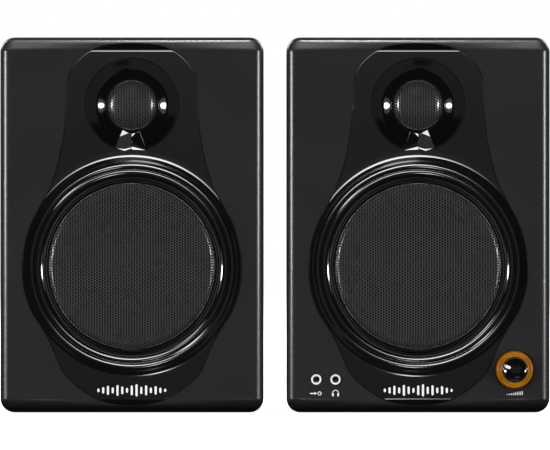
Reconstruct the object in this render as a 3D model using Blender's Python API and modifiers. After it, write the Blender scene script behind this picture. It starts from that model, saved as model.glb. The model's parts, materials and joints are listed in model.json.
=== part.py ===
"""A pair of small desktop monitor speakers, one active and one passive.

The fronts face -Y and +Z is up. Each speaker is modelled about its own empty, which
stands at the middle of the foot of its front face: local x runs to the right, local y
runs backwards from the front face and local z runs up.
"""

from math import cos, pi, radians, sin

import bmesh
import bpy
from mathutils import Matrix, Vector

MM = 0.001
FIT = 0.3 * MM                      # gap left between neighbouring pieces

# Driving dimensions
WIDTH = 152 * MM                    # one front
HEIGHT = 216.7 * MM
SPACING = 165.2 * MM                # between the two speakers' centre lines
KNOB_REACH = 8.5 * MM               # the knob stands this far ahead of the front face
REAR_REACH = 171.5 * MM             # the rear sockets end this far behind it
BASE_GAP = 0.5 * MM                 # the front ends this far above the desk
FRONT_Y = (KNOB_REACH - REAR_REACH) / 2

CORNER = 8 * MM                     # rounded corners of the front, seen square-on
EDGE = 6 * MM                       # rounding of its front edge
BAFFLE_DEPTH = 20 * MM
BAFFLE_FACE = 7 * MM                # thickness of the baffle's front wall
BAFFLE_WALL = 4 * MM

BOX_INSET = 1 * MM                  # the box is this much smaller all round
BOX_BACK = 160 * MM
BOX_WALL = 9 * MM
BOX_FRONT = BAFFLE_DEPTH + FIT
BOX_ROUND = 3 * MM                  # rounding of the wooden box's edges
PORT_HOLE = 20.3 * MM               # radius of the hole for the port

PANEL_PROUD = 0.5 * MM              # the gloss inlay stands this far ahead
PANEL_THICK = 3 * MM
PANEL_TOP, PANEL_FOOT = 213.0, 4.5  # the inlay's ends on the middle line, in mm
PANEL_SIDE = [(23.8, 208.6), (36.5, 194.7), (38.2, 167.9), (46.1, 132.0), (58.3, 107.6),
              (62.9, 83.1), (57.6, 58.7), (44.7, 35.7), (33.2, 17.0), (14.5, 6.2)]
PANEL_MIDDLE = 107.6                # height of its middle, in mm
PANEL_TALL, PANEL_WIDE = 104, 50    # half its height and its usual half width, in mm

WOOFER_Z = 84.5 * MM
TWEETER_Z = 177.5 * MM
RING_OUTER = 61.8 * MM
GRILLE_R = 48 * MM
GUIDE_R = 27.1 * MM
WOOFER_HOLE = 50.6 * MM             # radius of the inlay's hole for the woofer
TWEETER_HOLE = 25 * MM
PORT_Z = 180 * MM

PLATE = 2 * MM                      # thickness of the rear plates
PLATE_Y = BOX_BACK + FIT

KNOB_X, KNOB_Z = 55.7 * MM, 24.8 * MM
JACK_Z = 19.1 * MM
AUX_X, PHONES_X = -58.8 * MM, -47.7 * MM

PASSIVE_Z = 77 * MM                 # height of the passive speaker's terminals
ACTIVE_Z = 50 * MM                  # height of the active speaker's output terminals
LEVER_PITCH = 16 * MM
LEVER_TRAVEL = 1.8 * MM             # the lever's pivot lies this far inside its block
SOCKET_X = 42 * MM                  # rear sockets stand this far from the middle
LOW_SOCKET_Z, HIGH_SOCKET_Z = 28 * MM, 54 * MM

ROCKER_TILT = radians(8)            # each way from level
WELD = 0.01 * MM                    # points closer than this are one point
FORWARD = radians(90)               # turns a piece's own z axis to point forwards

# The look of each material: colour, roughness, metallic
LOOKS = {
    "grey": ((0.024, 0.024, 0.026), 0.42, 0),
    "gloss": ((0.006, 0.006, 0.007), 0.08, 0),
    "mesh": ((0.03, 0.03, 0.032), 0.4, 0.8),
    "vinyl": ((0.018, 0.018, 0.02), 0.6, 0),
    "steel": ((0.03, 0.03, 0.03), 0.45, 0.6),
    "bright": ((0.7, 0.69, 0.66), 0.2, 1),
    "ferrite": ((0.05, 0.05, 0.055), 0.7, 0),
    "paper": ((0.02, 0.02, 0.022), 0.7, 0),
    "rubber": ((0.012, 0.012, 0.012), 0.8, 0),
    "copper": ((0.6, 0.25, 0.12), 0.35, 1),
    "silk": ((0.03, 0.03, 0.035), 0.6, 0),
    "amber": ((0.62, 0.25, 0.02), 0.25, 0),
    "board": ((0.02, 0.14, 0.05), 0.5, 0),
    "alloy": ((0.5, 0.5, 0.52), 0.35, 1),
    "red": ((0.5, 0.02, 0.02), 0.35, 0),
    "black": ((0.012, 0.012, 0.013), 0.4, 0),
}

parts = bpy.data.collections.new("desktop_speakers")
tools = bpy.data.collections.new("cutters")
speaker = {"empty": None, "prefix": ""}


# Helpers

def clear_scene():
    """Remove what the file opened with, and link the two collections."""
    for old in list(bpy.data.objects):
        bpy.data.objects.remove(old, do_unlink=True)
    bpy.context.scene.collection.children.link(parts)
    bpy.context.scene.collection.children.link(tools)


def material(name, look):
    """A Principled material of its own for one part."""
    colour, roughness, metallic = LOOKS[look]
    made = bpy.data.materials.new(name)
    made.use_nodes = True
    shader = made.node_tree.nodes["Principled BSDF"]
    shader.inputs["Base Color"].default_value = (*colour, 1)
    shader.inputs["Roughness"].default_value = roughness
    shader.inputs["Metallic"].default_value = metallic
    return made


def put(name, mesh, place, look=None, turn=(0, 0, 0)):
    """Stand a mesh in the current speaker, as a part or, with no look, as a cutter."""
    obj = bpy.data.objects.new(speaker["prefix"] + name, mesh)
    obj.parent = speaker["empty"]
    obj.location = place
    obj.rotation_euler = turn
    if look is None:
        tools.objects.link(obj)
        obj.hide_render = True
        obj.display_type = "WIRE"
    else:
        parts.objects.link(obj)
        mesh.materials.append(material(obj.name, look))
    return obj


def box_mesh(size):
    """A block about its own middle."""
    bm = bmesh.new()
    bmesh.ops.create_cube(bm, size=1)
    bmesh.ops.scale(bm, vec=size, verts=bm.verts)
    mesh = bpy.data.meshes.new("box")
    bm.to_mesh(mesh)
    bm.free()
    return mesh


def box(name, low, high, look=None):
    """A block between two corners of the current speaker."""
    low, high = Vector(low), Vector(high)
    return put(name, box_mesh(high - low), (low + high) / 2, look)


def soft_block(name, low, high, look, corner, corner_steps, edge=0.0, edge_steps=0):
    """A block with its four long edges rounded, and the rim of its front face too."""
    low, high = Vector(low), Vector(high)
    mesh = box_mesh(high - low)
    half = (high - low) / 2
    bm = bmesh.new()
    bm.from_mesh(mesh)
    long_edges = [e for e in bm.edges if abs((e.verts[0].co - e.verts[1].co).y) > half.y]
    bmesh.ops.bevel(bm, geom=long_edges, offset=corner, segments=corner_steps,
                    affect="EDGES", profile=0.5)
    if edge:
        front = [e for e in bm.edges
                 if all(abs(v.co.y + half.y) < WELD for v in e.verts)]
        bmesh.ops.bevel(bm, geom=front, offset=edge, segments=edge_steps,
                        affect="EDGES", profile=0.5)
    bm.to_mesh(mesh)
    bm.free()
    return put(name, mesh, (low + high) / 2, look)


def turned(name, place, profile, look=None, steps=32, turn=(FORWARD, 0, 0)):
    """A solid turned about its own z axis from an outline of (radius, height) points.

    A ring's outline is a closed loop; one that starts and ends on the axis is left open
    there. The outline is made to run clockwise, so that the faces point outwards.
    """
    closed = zip(profile, profile[1:] + profile[:1])
    if sum(r0 * h1 - r1 * h0 for (r0, h0), (r1, h1) in closed) > 0:
        profile = profile[::-1]
    mesh = bpy.data.meshes.new(name)
    points = [(r, 0, h) for r, h in profile]
    edges = [(i, i + 1) for i in range(len(points) - 1)]
    if profile[0][0] > 0:
        edges.append((len(points) - 1, 0))
    mesh.from_pydata(points, edges, [])
    obj = put(name, mesh, place, look, turn)
    screw = obj.modifiers.new("turn", "SCREW")
    screw.steps = steps
    screw.render_steps = steps
    screw.use_merge_vertices = True
    screw.merge_threshold = WELD
    screw.use_smooth_shade = True
    return obj


def rod(name, place, radius, length, look=None, steps=24, turn=(FORWARD, 0, 0)):
    """A plain cylinder about its own middle."""
    half = length / 2
    return turned(name, place, [(0, half), (radius, half), (radius, -half), (0, -half)],
                  look, steps, turn)


def boolean(obj, tool, operation):
    step = obj.modifiers.new(operation.lower(), "BOOLEAN")
    step.operation = operation
    step.object = tool
    step.solver = "EXACT"


def cut(obj, *cutters):
    for tool in cutters:
        boolean(obj, tool, "DIFFERENCE")
    return obj


def join(obj, *pieces):
    for tool in pieces:
        boolean(obj, tool, "UNION")
    return obj


def smooth_loop(points, steps):
    """A closed curve through the points, with the given number of steps between two."""
    count = len(points)
    loop = []
    for i in range(count):
        a, b, c, d = (Vector(points[(i + k) % count]) for k in (-1, 0, 1, 2))
        for s in range(steps):
            t = s / steps
            loop.append(b + 0.5 * t * ((c - a) + t * (2 * a - 5 * b + 4 * c - d
                                                      + t * (3 * (b - c) + d - a))))
    return loop


def flat_plate(name, outline, near, far, look=None):
    """A plate of the outline's shape, from depth near to depth far."""
    curve = bpy.data.curves.new(name, "CURVE")
    curve.dimensions = "2D"
    curve.fill_mode = "BOTH"
    curve.extrude = (far - near) / 2
    spline = curve.splines.new("POLY")
    spline.points.add(len(outline) - 1)
    for point, (x, z) in zip(spline.points, outline):
        point.co = (x, z, 0, 1)
    spline.use_cyclic_u = True
    guide = bpy.data.objects.new("guide", curve)
    bpy.context.scene.collection.objects.link(guide)
    seen = guide.evaluated_get(bpy.context.evaluated_depsgraph_get())
    mesh = bpy.data.meshes.new_from_object(seen)
    bpy.data.objects.remove(guide, do_unlink=True)
    bm = bmesh.new()
    bm.from_mesh(mesh)
    bmesh.ops.remove_doubles(bm, verts=bm.verts, dist=0.001 * MM)
    bmesh.ops.recalc_face_normals(bm, faces=bm.faces)
    bm.to_mesh(mesh)
    bm.free()
    return put(name, mesh, (0, (near + far) / 2, 0), look, (FORWARD, 0, 0))


def pear(grow=0.0):
    """The inlay's outline, wide round the woofer and narrow round the tweeter."""
    points = [(0, PANEL_TOP)] + PANEL_SIDE + [(0, PANEL_FOOT)]
    points += [(-x, z) for x, z in reversed(PANEL_SIDE)]
    loop = smooth_loop([(x * MM, z * MM) for x, z in points], 3)
    tall = 1 + grow / (PANEL_TALL * MM)
    wide = 1 + grow / (PANEL_WIDE * MM)
    middle = PANEL_MIDDLE * MM
    return [(p.x * wide, middle + (p.y - middle) * tall) for p in loop]


def arc(middle, radius, start, end, steps):
    """Points (radius, height) on an arc of a profile, angles in degrees."""
    turns = [radians(start + (end - start) * i / steps) for i in range(steps + 1)]
    return [(middle[0] + radius * cos(a), middle[1] + radius * sin(a)) for a in turns]


def dome(rim, rise, level, steps):
    """Points on a shallow dome from its top, on the axis, down to its rim."""
    ball = (rim * rim + rise * rise) / (2 * rise)
    line = []
    for i in range(steps + 1):
        r = rim * i / steps
        line.append((r, (ball * ball - r * r) ** 0.5 - ball + rise + level))
    return line


def capped(rim, rise, level, thick, skirt, steps):
    """Outline of a domed cap of sheet with a turned-back skirt."""
    outside = dome(rim, rise, level, steps)
    inside = dome(rim - thick, rise - thick, level, steps)
    return outside + [(rim, level - skirt), (rim - thick, level - skirt)] + inside[::-1]


def in_mm(*points):
    """Profile points given in millimetres."""
    return [(r * MM, h * MM) for r, h in points]


# Pieces that both speakers have

def cabinet(opening_x, opening_low, opening_high):
    """The wooden box, open at the front, with a port hole and one rear opening."""
    x = WIDTH / 2 - BOX_INSET
    top = HEIGHT - BOX_INSET
    w = BOX_WALL
    body = soft_block("cabinet", (-x, BOX_FRONT, BOX_INSET), (x, BOX_BACK, top),
                      "vinyl", BOX_ROUND, 3)
    hollow = box("hollow", (-x + w, 0, BOX_INSET + w), (x - w, BOX_BACK - w, top - w))
    port = rod("port_hole", (0, BOX_BACK, PORT_Z), PORT_HOLE, 4 * w)
    back = box("rear_opening", (-opening_x, BOX_BACK - 2 * w, opening_low),
               (opening_x, BOX_BACK + w, opening_high))
    cut(body, hollow, port, back)


def front_baffle():
    """The moulded front: a shell with a recess for the inlay and two driver holes."""
    half = WIDTH / 2
    w = BAFFLE_WALL
    body = soft_block("front_baffle", (-half, 0, 0), (half, BAFFLE_DEPTH, HEIGHT),
                      "grey", CORNER, 4, EDGE, 3)
    hollow = soft_block("baffle_hollow", (-half + w, BAFFLE_FACE, w),
                        (half - w, 2 * BAFFLE_DEPTH, HEIGHT - w), None, CORNER - w, 2)
    recess = flat_plate("recess", pear(FIT), -10 * MM, PANEL_THICK - PANEL_PROUD + FIT)
    through = 4 * BAFFLE_FACE
    woofer = rod("woofer_hole", (0, 0, WOOFER_Z), WOOFER_HOLE + 0.1 * MM, through, steps=36)
    tweeter = rod("tweeter_hole", (0, 0, TWEETER_Z), TWEETER_HOLE, through)
    return cut(body, hollow, recess, woofer, tweeter)


def gloss_panel():
    """The pear-shaped inlay, whose ends follow the front's rounded edges."""
    half = WIDTH / 2 + PANEL_PROUD
    plate = flat_plate("gloss_panel", pear(), -4 * MM, PANEL_THICK - PANEL_PROUD, "gloss")
    skin = soft_block("inlay_envelope", (-half, -PANEL_PROUD, -PANEL_PROUD),
                      (half, BAFFLE_DEPTH, HEIGHT + PANEL_PROUD), None,
                      CORNER + PANEL_PROUD, 4, EDGE + PANEL_PROUD, 3)
    boolean(plate, skin, "INTERSECT")
    through = 2 * BAFFLE_DEPTH
    woofer = rod("inlay_woofer_hole", (0, 0, WOOFER_Z), WOOFER_HOLE, through, steps=36)
    tweeter = rod("inlay_tweeter_hole", (0, 0, TWEETER_Z), GUIDE_R + FIT, through)
    cut(plate, woofer, tweeter)


def woofer_ring():
    """The fat ring: a rounded crown on the inlay and a skirt through its hole."""
    base = PANEL_PROUD + FIT
    roll = (RING_OUTER - 51 * MM) / 2
    crown = arc((RING_OUTER - roll, base), roll, 0, 150, 4)
    skirt = in_mm((50.6, 1.8), (48.7, -0.4), (48.7, -5), (50.2, -5))
    turned("woofer_ring", (0, 0, WOOFER_Z), crown + skirt + [(50.2 * MM, base)], "gloss", 36)


def woofer_basket():
    """The driver's frame: a flange, a bowl with four windows, and the front plate."""
    outside = in_mm((56, -8.3), (56, -10.3), (48, -10.3), (42, -22), (35, -33), (35, -38))
    inside = in_mm((13.9, -38), (13.9, -33), (28, -33), (28, -30.2), (32, -30.2),
                   (33.2, -31.5), (40.2, -21), (46.3, -8.3))
    body = turned("woofer_basket", (0, 0, WOOFER_Z), outside + inside, "steel", 24)
    for angle in (pi / 4, 3 * pi / 4):
        window = box("window", (-60 * MM, 13 * MM, WOOFER_Z - 13 * MM),
                     (60 * MM, 27 * MM, WOOFER_Z + 13 * MM))
        window.rotation_euler = (0, angle, 0)
        cut(body, window)


def woofer_motor():
    """The ring magnet, and the yoke with its pole in the middle."""
    place = (0, 0, WOOFER_Z)
    ring = in_mm((35, -38.3), (35, -52), (16, -52), (16, -38.3))
    turned("woofer_magnet", place, ring, "ferrite", 24)
    pole = in_mm((0, -33.5), (11.5, -33.5), (11.5, -52.3), (33, -52.3), (33, -57), (0, -57))
    turned("woofer_yoke", place, pole, "steel", 24)


def woofer_cone():
    """The paper cone and its dust cap in one piece, and the coil behind it."""
    place = (0, 0, WOOFER_Z)
    cap_front = dome(17 * MM, 5.5 * MM, -22.75 * MM, 3)
    cap_back = dome(16.3 * MM, 5 * MM, -23.2 * MM, 3)
    paper = in_mm((40.4, -8.4), (40.4, -9.3), (13.5, -25.9), (13.5, -24.9))
    turned("woofer_cone", place, cap_front + paper + cap_back[::-1], "paper", 24)
    coil = in_mm((13.2, -23.6), (13.2, -47), (12.3, -47), (12.3, -23.6))
    turned("woofer_voice_coil", place, coil, "copper", 20)


def woofer_suspension():
    """The half-roll surround and the corrugated spider."""
    place = (0, 0, WOOFER_Z)
    front = arc((43.5 * MM, -7.4 * MM), 3.1 * MM, 180, 0, 3)
    back = arc((43.5 * MM, -8 * MM), 2.5 * MM, 0, 180, 3)
    outline = in_mm((38.8, -7.4)) + front + in_mm((51.5, -7.4), (51.5, -8))
    turned("woofer_surround", place, outline + back + in_mm((38.8, -8)), "rubber", 24)
    folds = 6
    wave = [(13.6 + 3 * i, -29.2 + 0.8 * (i % 2)) for i in range(folds + 1)]
    under = [(r, h - 0.6) for r, h in wave]
    turned("woofer_spider", place, in_mm(*wave, *under[::-1]), "silk", 20)


def woofer():
    """The bass driver behind its grille and ring."""
    woofer_ring()
    sheet = capped(GRILLE_R, 4.5 * MM, 0.5 * MM, 0.8 * MM, 4 * MM, 3)
    turned("woofer_grille", (0, 0, WOOFER_Z), sheet, "mesh", 28)
    woofer_basket()
    woofer_motor()
    woofer_cone()
    woofer_suspension()


def tweeter():
    """The tweeter: waveguide, grille, dome with its coil, and magnet."""
    place = (0, 0, TWEETER_Z)
    flange = in_mm((27.1, 0.5), (27.1, -2.2), (24.4, -2.2), (24.4, -11.5))
    flare = in_mm((14.6, -11.5), (14.6, -5.2), (17.5, -3.4), (20.8, -0.2), (24, 0.5))
    turned("tweeter_waveguide", place, flange + flare, "gloss", 28)
    sheet = capped(14.3 * MM, 4.5 * MM, -4.5 * MM, 0.6 * MM, 1.5 * MM, 3)
    turned("tweeter_grille", place, sheet, "mesh", 20)
    front = dome(12.5 * MM, 4.4 * MM, -10.2 * MM, 3)
    back = dome(12 * MM, 3.9 * MM, -10.2 * MM, 3)
    edge = in_mm((14, -10.2), (14, -10.7), (12.5, -10.7), (12.5, -15), (12, -15))
    turned("tweeter_dome", place, front + edge + back[::-1], "silk", 20)
    motor = in_mm((0, -12), (11.2, -12), (11.2, -17), (13.4, -17), (13.4, -12), (20, -12),
                  (20, -27), (0, -27))
    turned("tweeter_magnet", place, motor, "ferrite", 20)


def bass_port():
    """The flared tube, with its lip outside the rear wall."""
    outside = in_mm((17.5, 75), (17.5, 5), (19.8, -0.3), (25, -0.3), (25, -2.3))
    flare = in_mm((21.5, -2.3), (18.1, 0), (15.5, 6), (15.5, 75))
    turned("bass_port", (0, BOX_BACK, PORT_Z), outside + flare, "black", 24)


def lever(name, x, face, z, look):
    """A spring-clip lever with a thumb grip, hinged along x at its lower end."""
    tab = box_mesh((7 * MM, 4.5 * MM, 11 * MM))
    tab.transform(Matrix.Translation((0, 0.7 * MM, 5 * MM)))
    pivot = Vector((x, face - LEVER_TRAVEL, z))
    body = put(name, tab, pivot, look)
    grip = put("grip", box_mesh((7 * MM, 4 * MM, 3.4 * MM)),
               pivot + Vector((0, 3.6 * MM, 8.4 * MM)))
    join(body, grip)


def terminal_block(name, face, z, look=None):
    """A block for two spring clips."""
    return box(name, (-18 * MM, face - 10 * MM, z - 9 * MM), (18 * MM, face, z + 15 * MM), look)


def clip_holes(face, z):
    """Cutters for the two lever wells and the wire hole under each."""
    holes = []
    for x in (-LEVER_PITCH / 2, LEVER_PITCH / 2):
        holes.append(box("lever_well", (x - 4 * MM, face - 8.5 * MM, z - 2.2 * MM),
                         (x + 4 * MM, face + 10 * MM, z + 12.5 * MM)))
        holes.append(rod("wire_hole", (x, face, z - 5.5 * MM), 1.5 * MM, 14 * MM, steps=12))
    return holes


def levers(face, z):
    lever("red_lever", -LEVER_PITCH / 2, face, z, "red")
    lever("black_lever", LEVER_PITCH / 2, face, z, "black")


def feet():
    """Two rubber strips under the box."""
    for name, y in (("front_foot", 36 * MM), ("rear_foot", 144 * MM)):
        box(name, (-55 * MM, y - 7 * MM, -BASE_GAP), (55 * MM, y + 7 * MM, BOX_INSET - FIT),
            "rubber")


def begin(side, x):
    """Start a speaker: its empty stands at the foot of its front face."""
    empty = bpy.data.objects.new(side + "_speaker", None)
    empty.location = (x, FRONT_Y, BASE_GAP)
    parts.objects.link(empty)
    speaker["empty"] = empty
    speaker["prefix"] = side + "_"
    gloss_panel()
    woofer()
    tweeter()
    bass_port()
    feet()


# The passive speaker

def terminal_cup():
    """A plate with a recess, and a block with two spring clips on its floor."""
    z = PASSIVE_Z
    face = PLATE_Y - 2.8 * MM
    rear = PLATE_Y + PLATE
    plate = box("terminal_cup", (-33 * MM, PLATE_Y, z - 26 * MM), (33 * MM, rear, z + 32 * MM),
                "black")
    tub = box("tub", (-27 * MM, face - 9 * MM, z - 18 * MM), (27 * MM, rear - 1 * MM, z + 24 * MM))
    recess = box("tub_recess", (-25 * MM, face - 4 * MM, z - 16 * MM),
                 (25 * MM, rear + 5 * MM, z + 22 * MM))
    join(plate, tub)
    cut(plate, recess)
    join(plate, terminal_block("clip_block", face, z))
    cut(plate, *clip_holes(face, z))
    levers(face, z)


def crossover_board():
    """The board behind the terminals, with a capacitor and a coil."""
    z = PASSIVE_Z
    board = box("crossover_board", (-32 * MM, 143 * MM, z - 22 * MM),
                (32 * MM, 144.6 * MM, z + 28 * MM), "board")
    capacitor = rod("capacitor", (-15 * MM, 133 * MM, z), 7 * MM, 22 * MM, steps=16)
    coil = rod("coil", (14 * MM, 137 * MM, z + 4 * MM), 11 * MM, 14 * MM, steps=20)
    join(board, capacitor, coil)


# The active speaker

def volume_control(baffle):
    """The knob on its shaft, the amber ring round it and the control behind."""
    place = (KNOB_X, 0, KNOB_Z)
    cut(baffle, rod("ring_hole", place, 10.9 * MM, 20 * MM, steps=24),
        rod("ring_recess", place, 11.9 * MM, 1.6 * MM, steps=24))
    face = in_mm((0, 7.3), (3.5, 7.5), (6, 8.2), (6.6, 8.5), (7.1, 7.9))
    shaft = in_mm((7.1, -1.3), (2.8, -1.3), (2.8, -13.5), (0, -13.5))
    turned("volume_knob", place, face + shaft, "gloss", 24)
    glow = in_mm((7.5, 2.2), (8.6, 3.4), (10, 3), (10.6, 2), (10.6, -7.3), (12.5, -7.3),
                 (12.5, -8.6), (7.5, -8.6))
    turned("light_ring", place, glow, "amber", 24)
    pot = box("volume_pot", (KNOB_X - 8 * MM, 9.7 * MM, KNOB_Z - 8 * MM),
              (KNOB_X + 8 * MM, 16.7 * MM, KNOB_Z + 8 * MM), "steel")
    join(pot, rod("bushing", (KNOB_X, 7 * MM, KNOB_Z), 4.2 * MM, 10 * MM, steps=20))
    cut(pot, rod("pot_bore", (KNOB_X, 7.5 * MM, KNOB_Z), 3.15 * MM, 14 * MM, steps=20))


def jack(name, x, baffle):
    """A 3.5 mm socket whose threaded collar comes through the front."""
    place = (x, 0, JACK_Z)
    cut(baffle, rod(name + "_hole", place, 3.4 * MM, 20 * MM, steps=16),
        rod(name + "_recess", place, 4.1 * MM, 1 * MM, steps=16))
    body = box(name, (x - 4 * MM, 7.3 * MM, JACK_Z - 4 * MM),
               (x + 4 * MM, 16.7 * MM, JACK_Z + 4 * MM), "bright")
    join(body, rod(name + "_collar", (x, 4.2 * MM, JACK_Z), 3.05 * MM, 9.6 * MM, steps=20))
    cut(body, rod(name + "_bore", (x, 6.5 * MM, JACK_Z), 1.8 * MM, 18 * MM, steps=20))


def amp_plate():
    """The metal rear plate, with an opening for each socket."""
    rear = PLATE_Y + PLATE
    plate = box("amp_plate", (-62 * MM, PLATE_Y, 11 * MM), (62 * MM, rear, 142 * MM), "steel")
    windows = [("inlet", SOCKET_X, LOW_SOCKET_Z, 11.9, 7.4),
               ("switch", SOCKET_X, HIGH_SOCKET_Z, 9.7, 6.7),
               ("usb", -SOCKET_X, LOW_SOCKET_Z, 6.4, 5.9),
               ("output", 0, ACTIVE_Z + 3 * MM, 18.4, 12.4)]
    for name, x, z, half_x, half_z in windows:
        cut(plate, box(name + "_window", (x - half_x * MM, BOX_BACK - 5 * MM, z - half_z * MM),
                       (x + half_x * MM, rear + 5 * MM, z + half_z * MM)))
    for z in (HIGH_SOCKET_Z, HIGH_SOCKET_Z + 16 * MM):
        cut(plate, rod("line_window", (-SOCKET_X, PLATE_Y, z), 4.6 * MM, 10 * MM, steps=20))


def rear_socket(name, x, z, half, lip, cavity, depth):
    """A snap-in housing: a body, a lip outside the plate and a hollow in its back.

    half, lip and cavity are half sizes along x and z; depth is where the hollow ends.
    """
    rear = PLATE_Y + PLATE + FIT
    body = box(name, (x - half[0], 148 * MM, z - half[1]),
               (x + half[0], rear + 1 * MM, z + half[1]), "black")
    flange = box(name + "_lip", (x - lip[0], rear, z - lip[1]),
                 (x + lip[0], rear + 1.3 * MM, z + lip[1]))
    hollow = box(name + "_hollow", (x - cavity[0], depth, z - cavity[1]),
                 (x + cavity[0], rear + 9 * MM, z + cavity[1]))
    join(body, flange)
    return cut(body, hollow)


def power_entry():
    """The two-pin inlet, and the rocker switch over it."""
    x = SOCKET_X
    z = LOW_SOCKET_Z
    inlet = rear_socket("mains_inlet", x, z, (11.5 * MM, 7 * MM), (14 * MM, 9.5 * MM),
                        (9.3 * MM, 4.9 * MM), 151 * MM)
    for dx in (-4.3 * MM, 4.3 * MM):
        join(inlet, rod("pin", (x + dx, 155 * MM, z), 1.2 * MM, 10 * MM, steps=12))
    z = HIGH_SOCKET_Z
    rear_socket("switch_body", x, z, (9.3 * MM, 6.3 * MM), (11 * MM, 8 * MM),
                (8.2 * MM, 5.3 * MM), 153 * MM)
    outline = in_mm((-4.6, -3), (4.6, -3), (4.6, 3), (0, 2), (-4.6, 3))
    rocker = flat_plate("power_rocker", outline, -7.8 * MM, 7.8 * MM, "black")
    rocker.data.transform(Matrix.Rotation(-pi / 2, 4, "Y"))
    rocker.location = (x, PLATE_Y + PLATE - 0.8 * MM, z)
    rocker.rotation_euler = (-ROCKER_TILT, 0, 0)


def signal_sockets():
    """The pair of line inputs, the data socket and the outputs to the other speaker."""
    x = -SOCKET_X
    block = box("rca_sockets", (x - 7 * MM, 148 * MM, HIGH_SOCKET_Z - 8 * MM),
                (x + 7 * MM, 158.5 * MM, HIGH_SOCKET_Z + 24 * MM), "black")
    for z in (HIGH_SOCKET_Z, HIGH_SOCKET_Z + 16 * MM):
        barrel = (x, (155 * MM + REAR_REACH) / 2, z)
        join(block, rod("barrel", barrel, 4.15 * MM, REAR_REACH - 155 * MM, steps=20))
        cut(block, rod("contact", (x, REAR_REACH, z), 1.7 * MM, 17 * MM, steps=12))
    z = LOW_SOCKET_Z
    rear = PLATE_Y + PLATE + 0.7 * MM
    usb = box("usb_socket", (x - 6 * MM, 146 * MM, z - 5.5 * MM),
              (x + 6 * MM, rear, z + 5.5 * MM), "bright")
    cut(usb, box("usb_hollow", (x - 4.2 * MM, 149 * MM, z - 3.9 * MM),
                 (x + 4.2 * MM, rear + 5 * MM, z + 3.9 * MM)))
    join(usb, box("tongue", (x - 2.8 * MM, 147 * MM, z - 1.6 * MM),
                  (x + 2.8 * MM, 157.5 * MM, z + 1.6 * MM)))
    face = PLATE_Y + PLATE + 0.2 * MM
    block = terminal_block("output_terminals", face, ACTIVE_Z, "black")
    cut(block, *clip_holes(face, ACTIVE_Z))
    levers(face, ACTIVE_Z)


def amplifier():
    """The board behind the rear plate, its heat sink and the transformer."""
    board = box("amp_board", (-52 * MM, 143 * MM, 20 * MM), (52 * MM, 144.6 * MM, 98 * MM),
                "board")
    for x in (-30 * MM, -12 * MM):
        join(board, rod("reservoir", (x, 134 * MM, 34 * MM), 7 * MM, 20 * MM, steps=16))
    join(board, box("chip", (10 * MM, 139 * MM, 70 * MM), (30 * MM, 143.5 * MM, 92 * MM)))
    fins = 7
    pitch = 80 * MM / (fins - 0.5)
    sink = box("heat_sink", (-40 * MM, 132 * MM, 104 * MM), (40 * MM, 159.9 * MM, 128 * MM),
               "alloy")
    for i in range(fins - 1):
        x = -40 * MM + pitch * (i + 0.5)
        cut(sink, box("slot", (x, 120 * MM, 100 * MM),
                      (x + pitch / 2, 155 * MM, 132 * MM)))
    core = box("transformer", (-25 * MM, 72 * MM, 10.3 * MM), (25 * MM, 106 * MM, 50 * MM),
               "steel")
    join(core, box("winding", (-16 * MM, 64 * MM, 17 * MM), (16 * MM, 114 * MM, 43 * MM)))


def active_front(baffle):
    """The controls and sockets on the front, and the board that carries them."""
    volume_control(baffle)
    jack("aux_jack", AUX_X, baffle)
    jack("headphone_jack", PHONES_X, baffle)
    box("control_board", (-67 * MM, 17 * MM, 10 * MM), (67 * MM, 18.6 * MM, 34 * MM), "board")


def build():
    clear_scene()
    begin("left", -SPACING / 2)
    cabinet(27.5 * MM, PASSIVE_Z - 18.5 * MM, PASSIVE_Z + 24.5 * MM)
    front_baffle()
    terminal_cup()
    crossover_board()
    begin("right", SPACING / 2)
    cabinet(56 * MM, 17 * MM, 132 * MM)
    active_front(front_baffle())
    amp_plate()
    power_entry()
    signal_sockets()
    amplifier()


build()
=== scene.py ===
# %% [markdown]
# # A pair of desktop monitor speakers
#
# This notebook dresses a working model of two small loudspeakers: a passive one on the
# left and an active one, with the volume knob, on the right. The working model already
# has every piece in its place, with plain faceted shapes. Each step below takes one
# piece, says what it is on the real object and how it could be made, and then makes the
# surface that a buyer would see and touch.

# %% Load the working model
import json
from math import atan2, cos, pi, radians, sin, sqrt, tan

import bmesh
import bpy
from mathutils import Matrix, Vector

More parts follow.
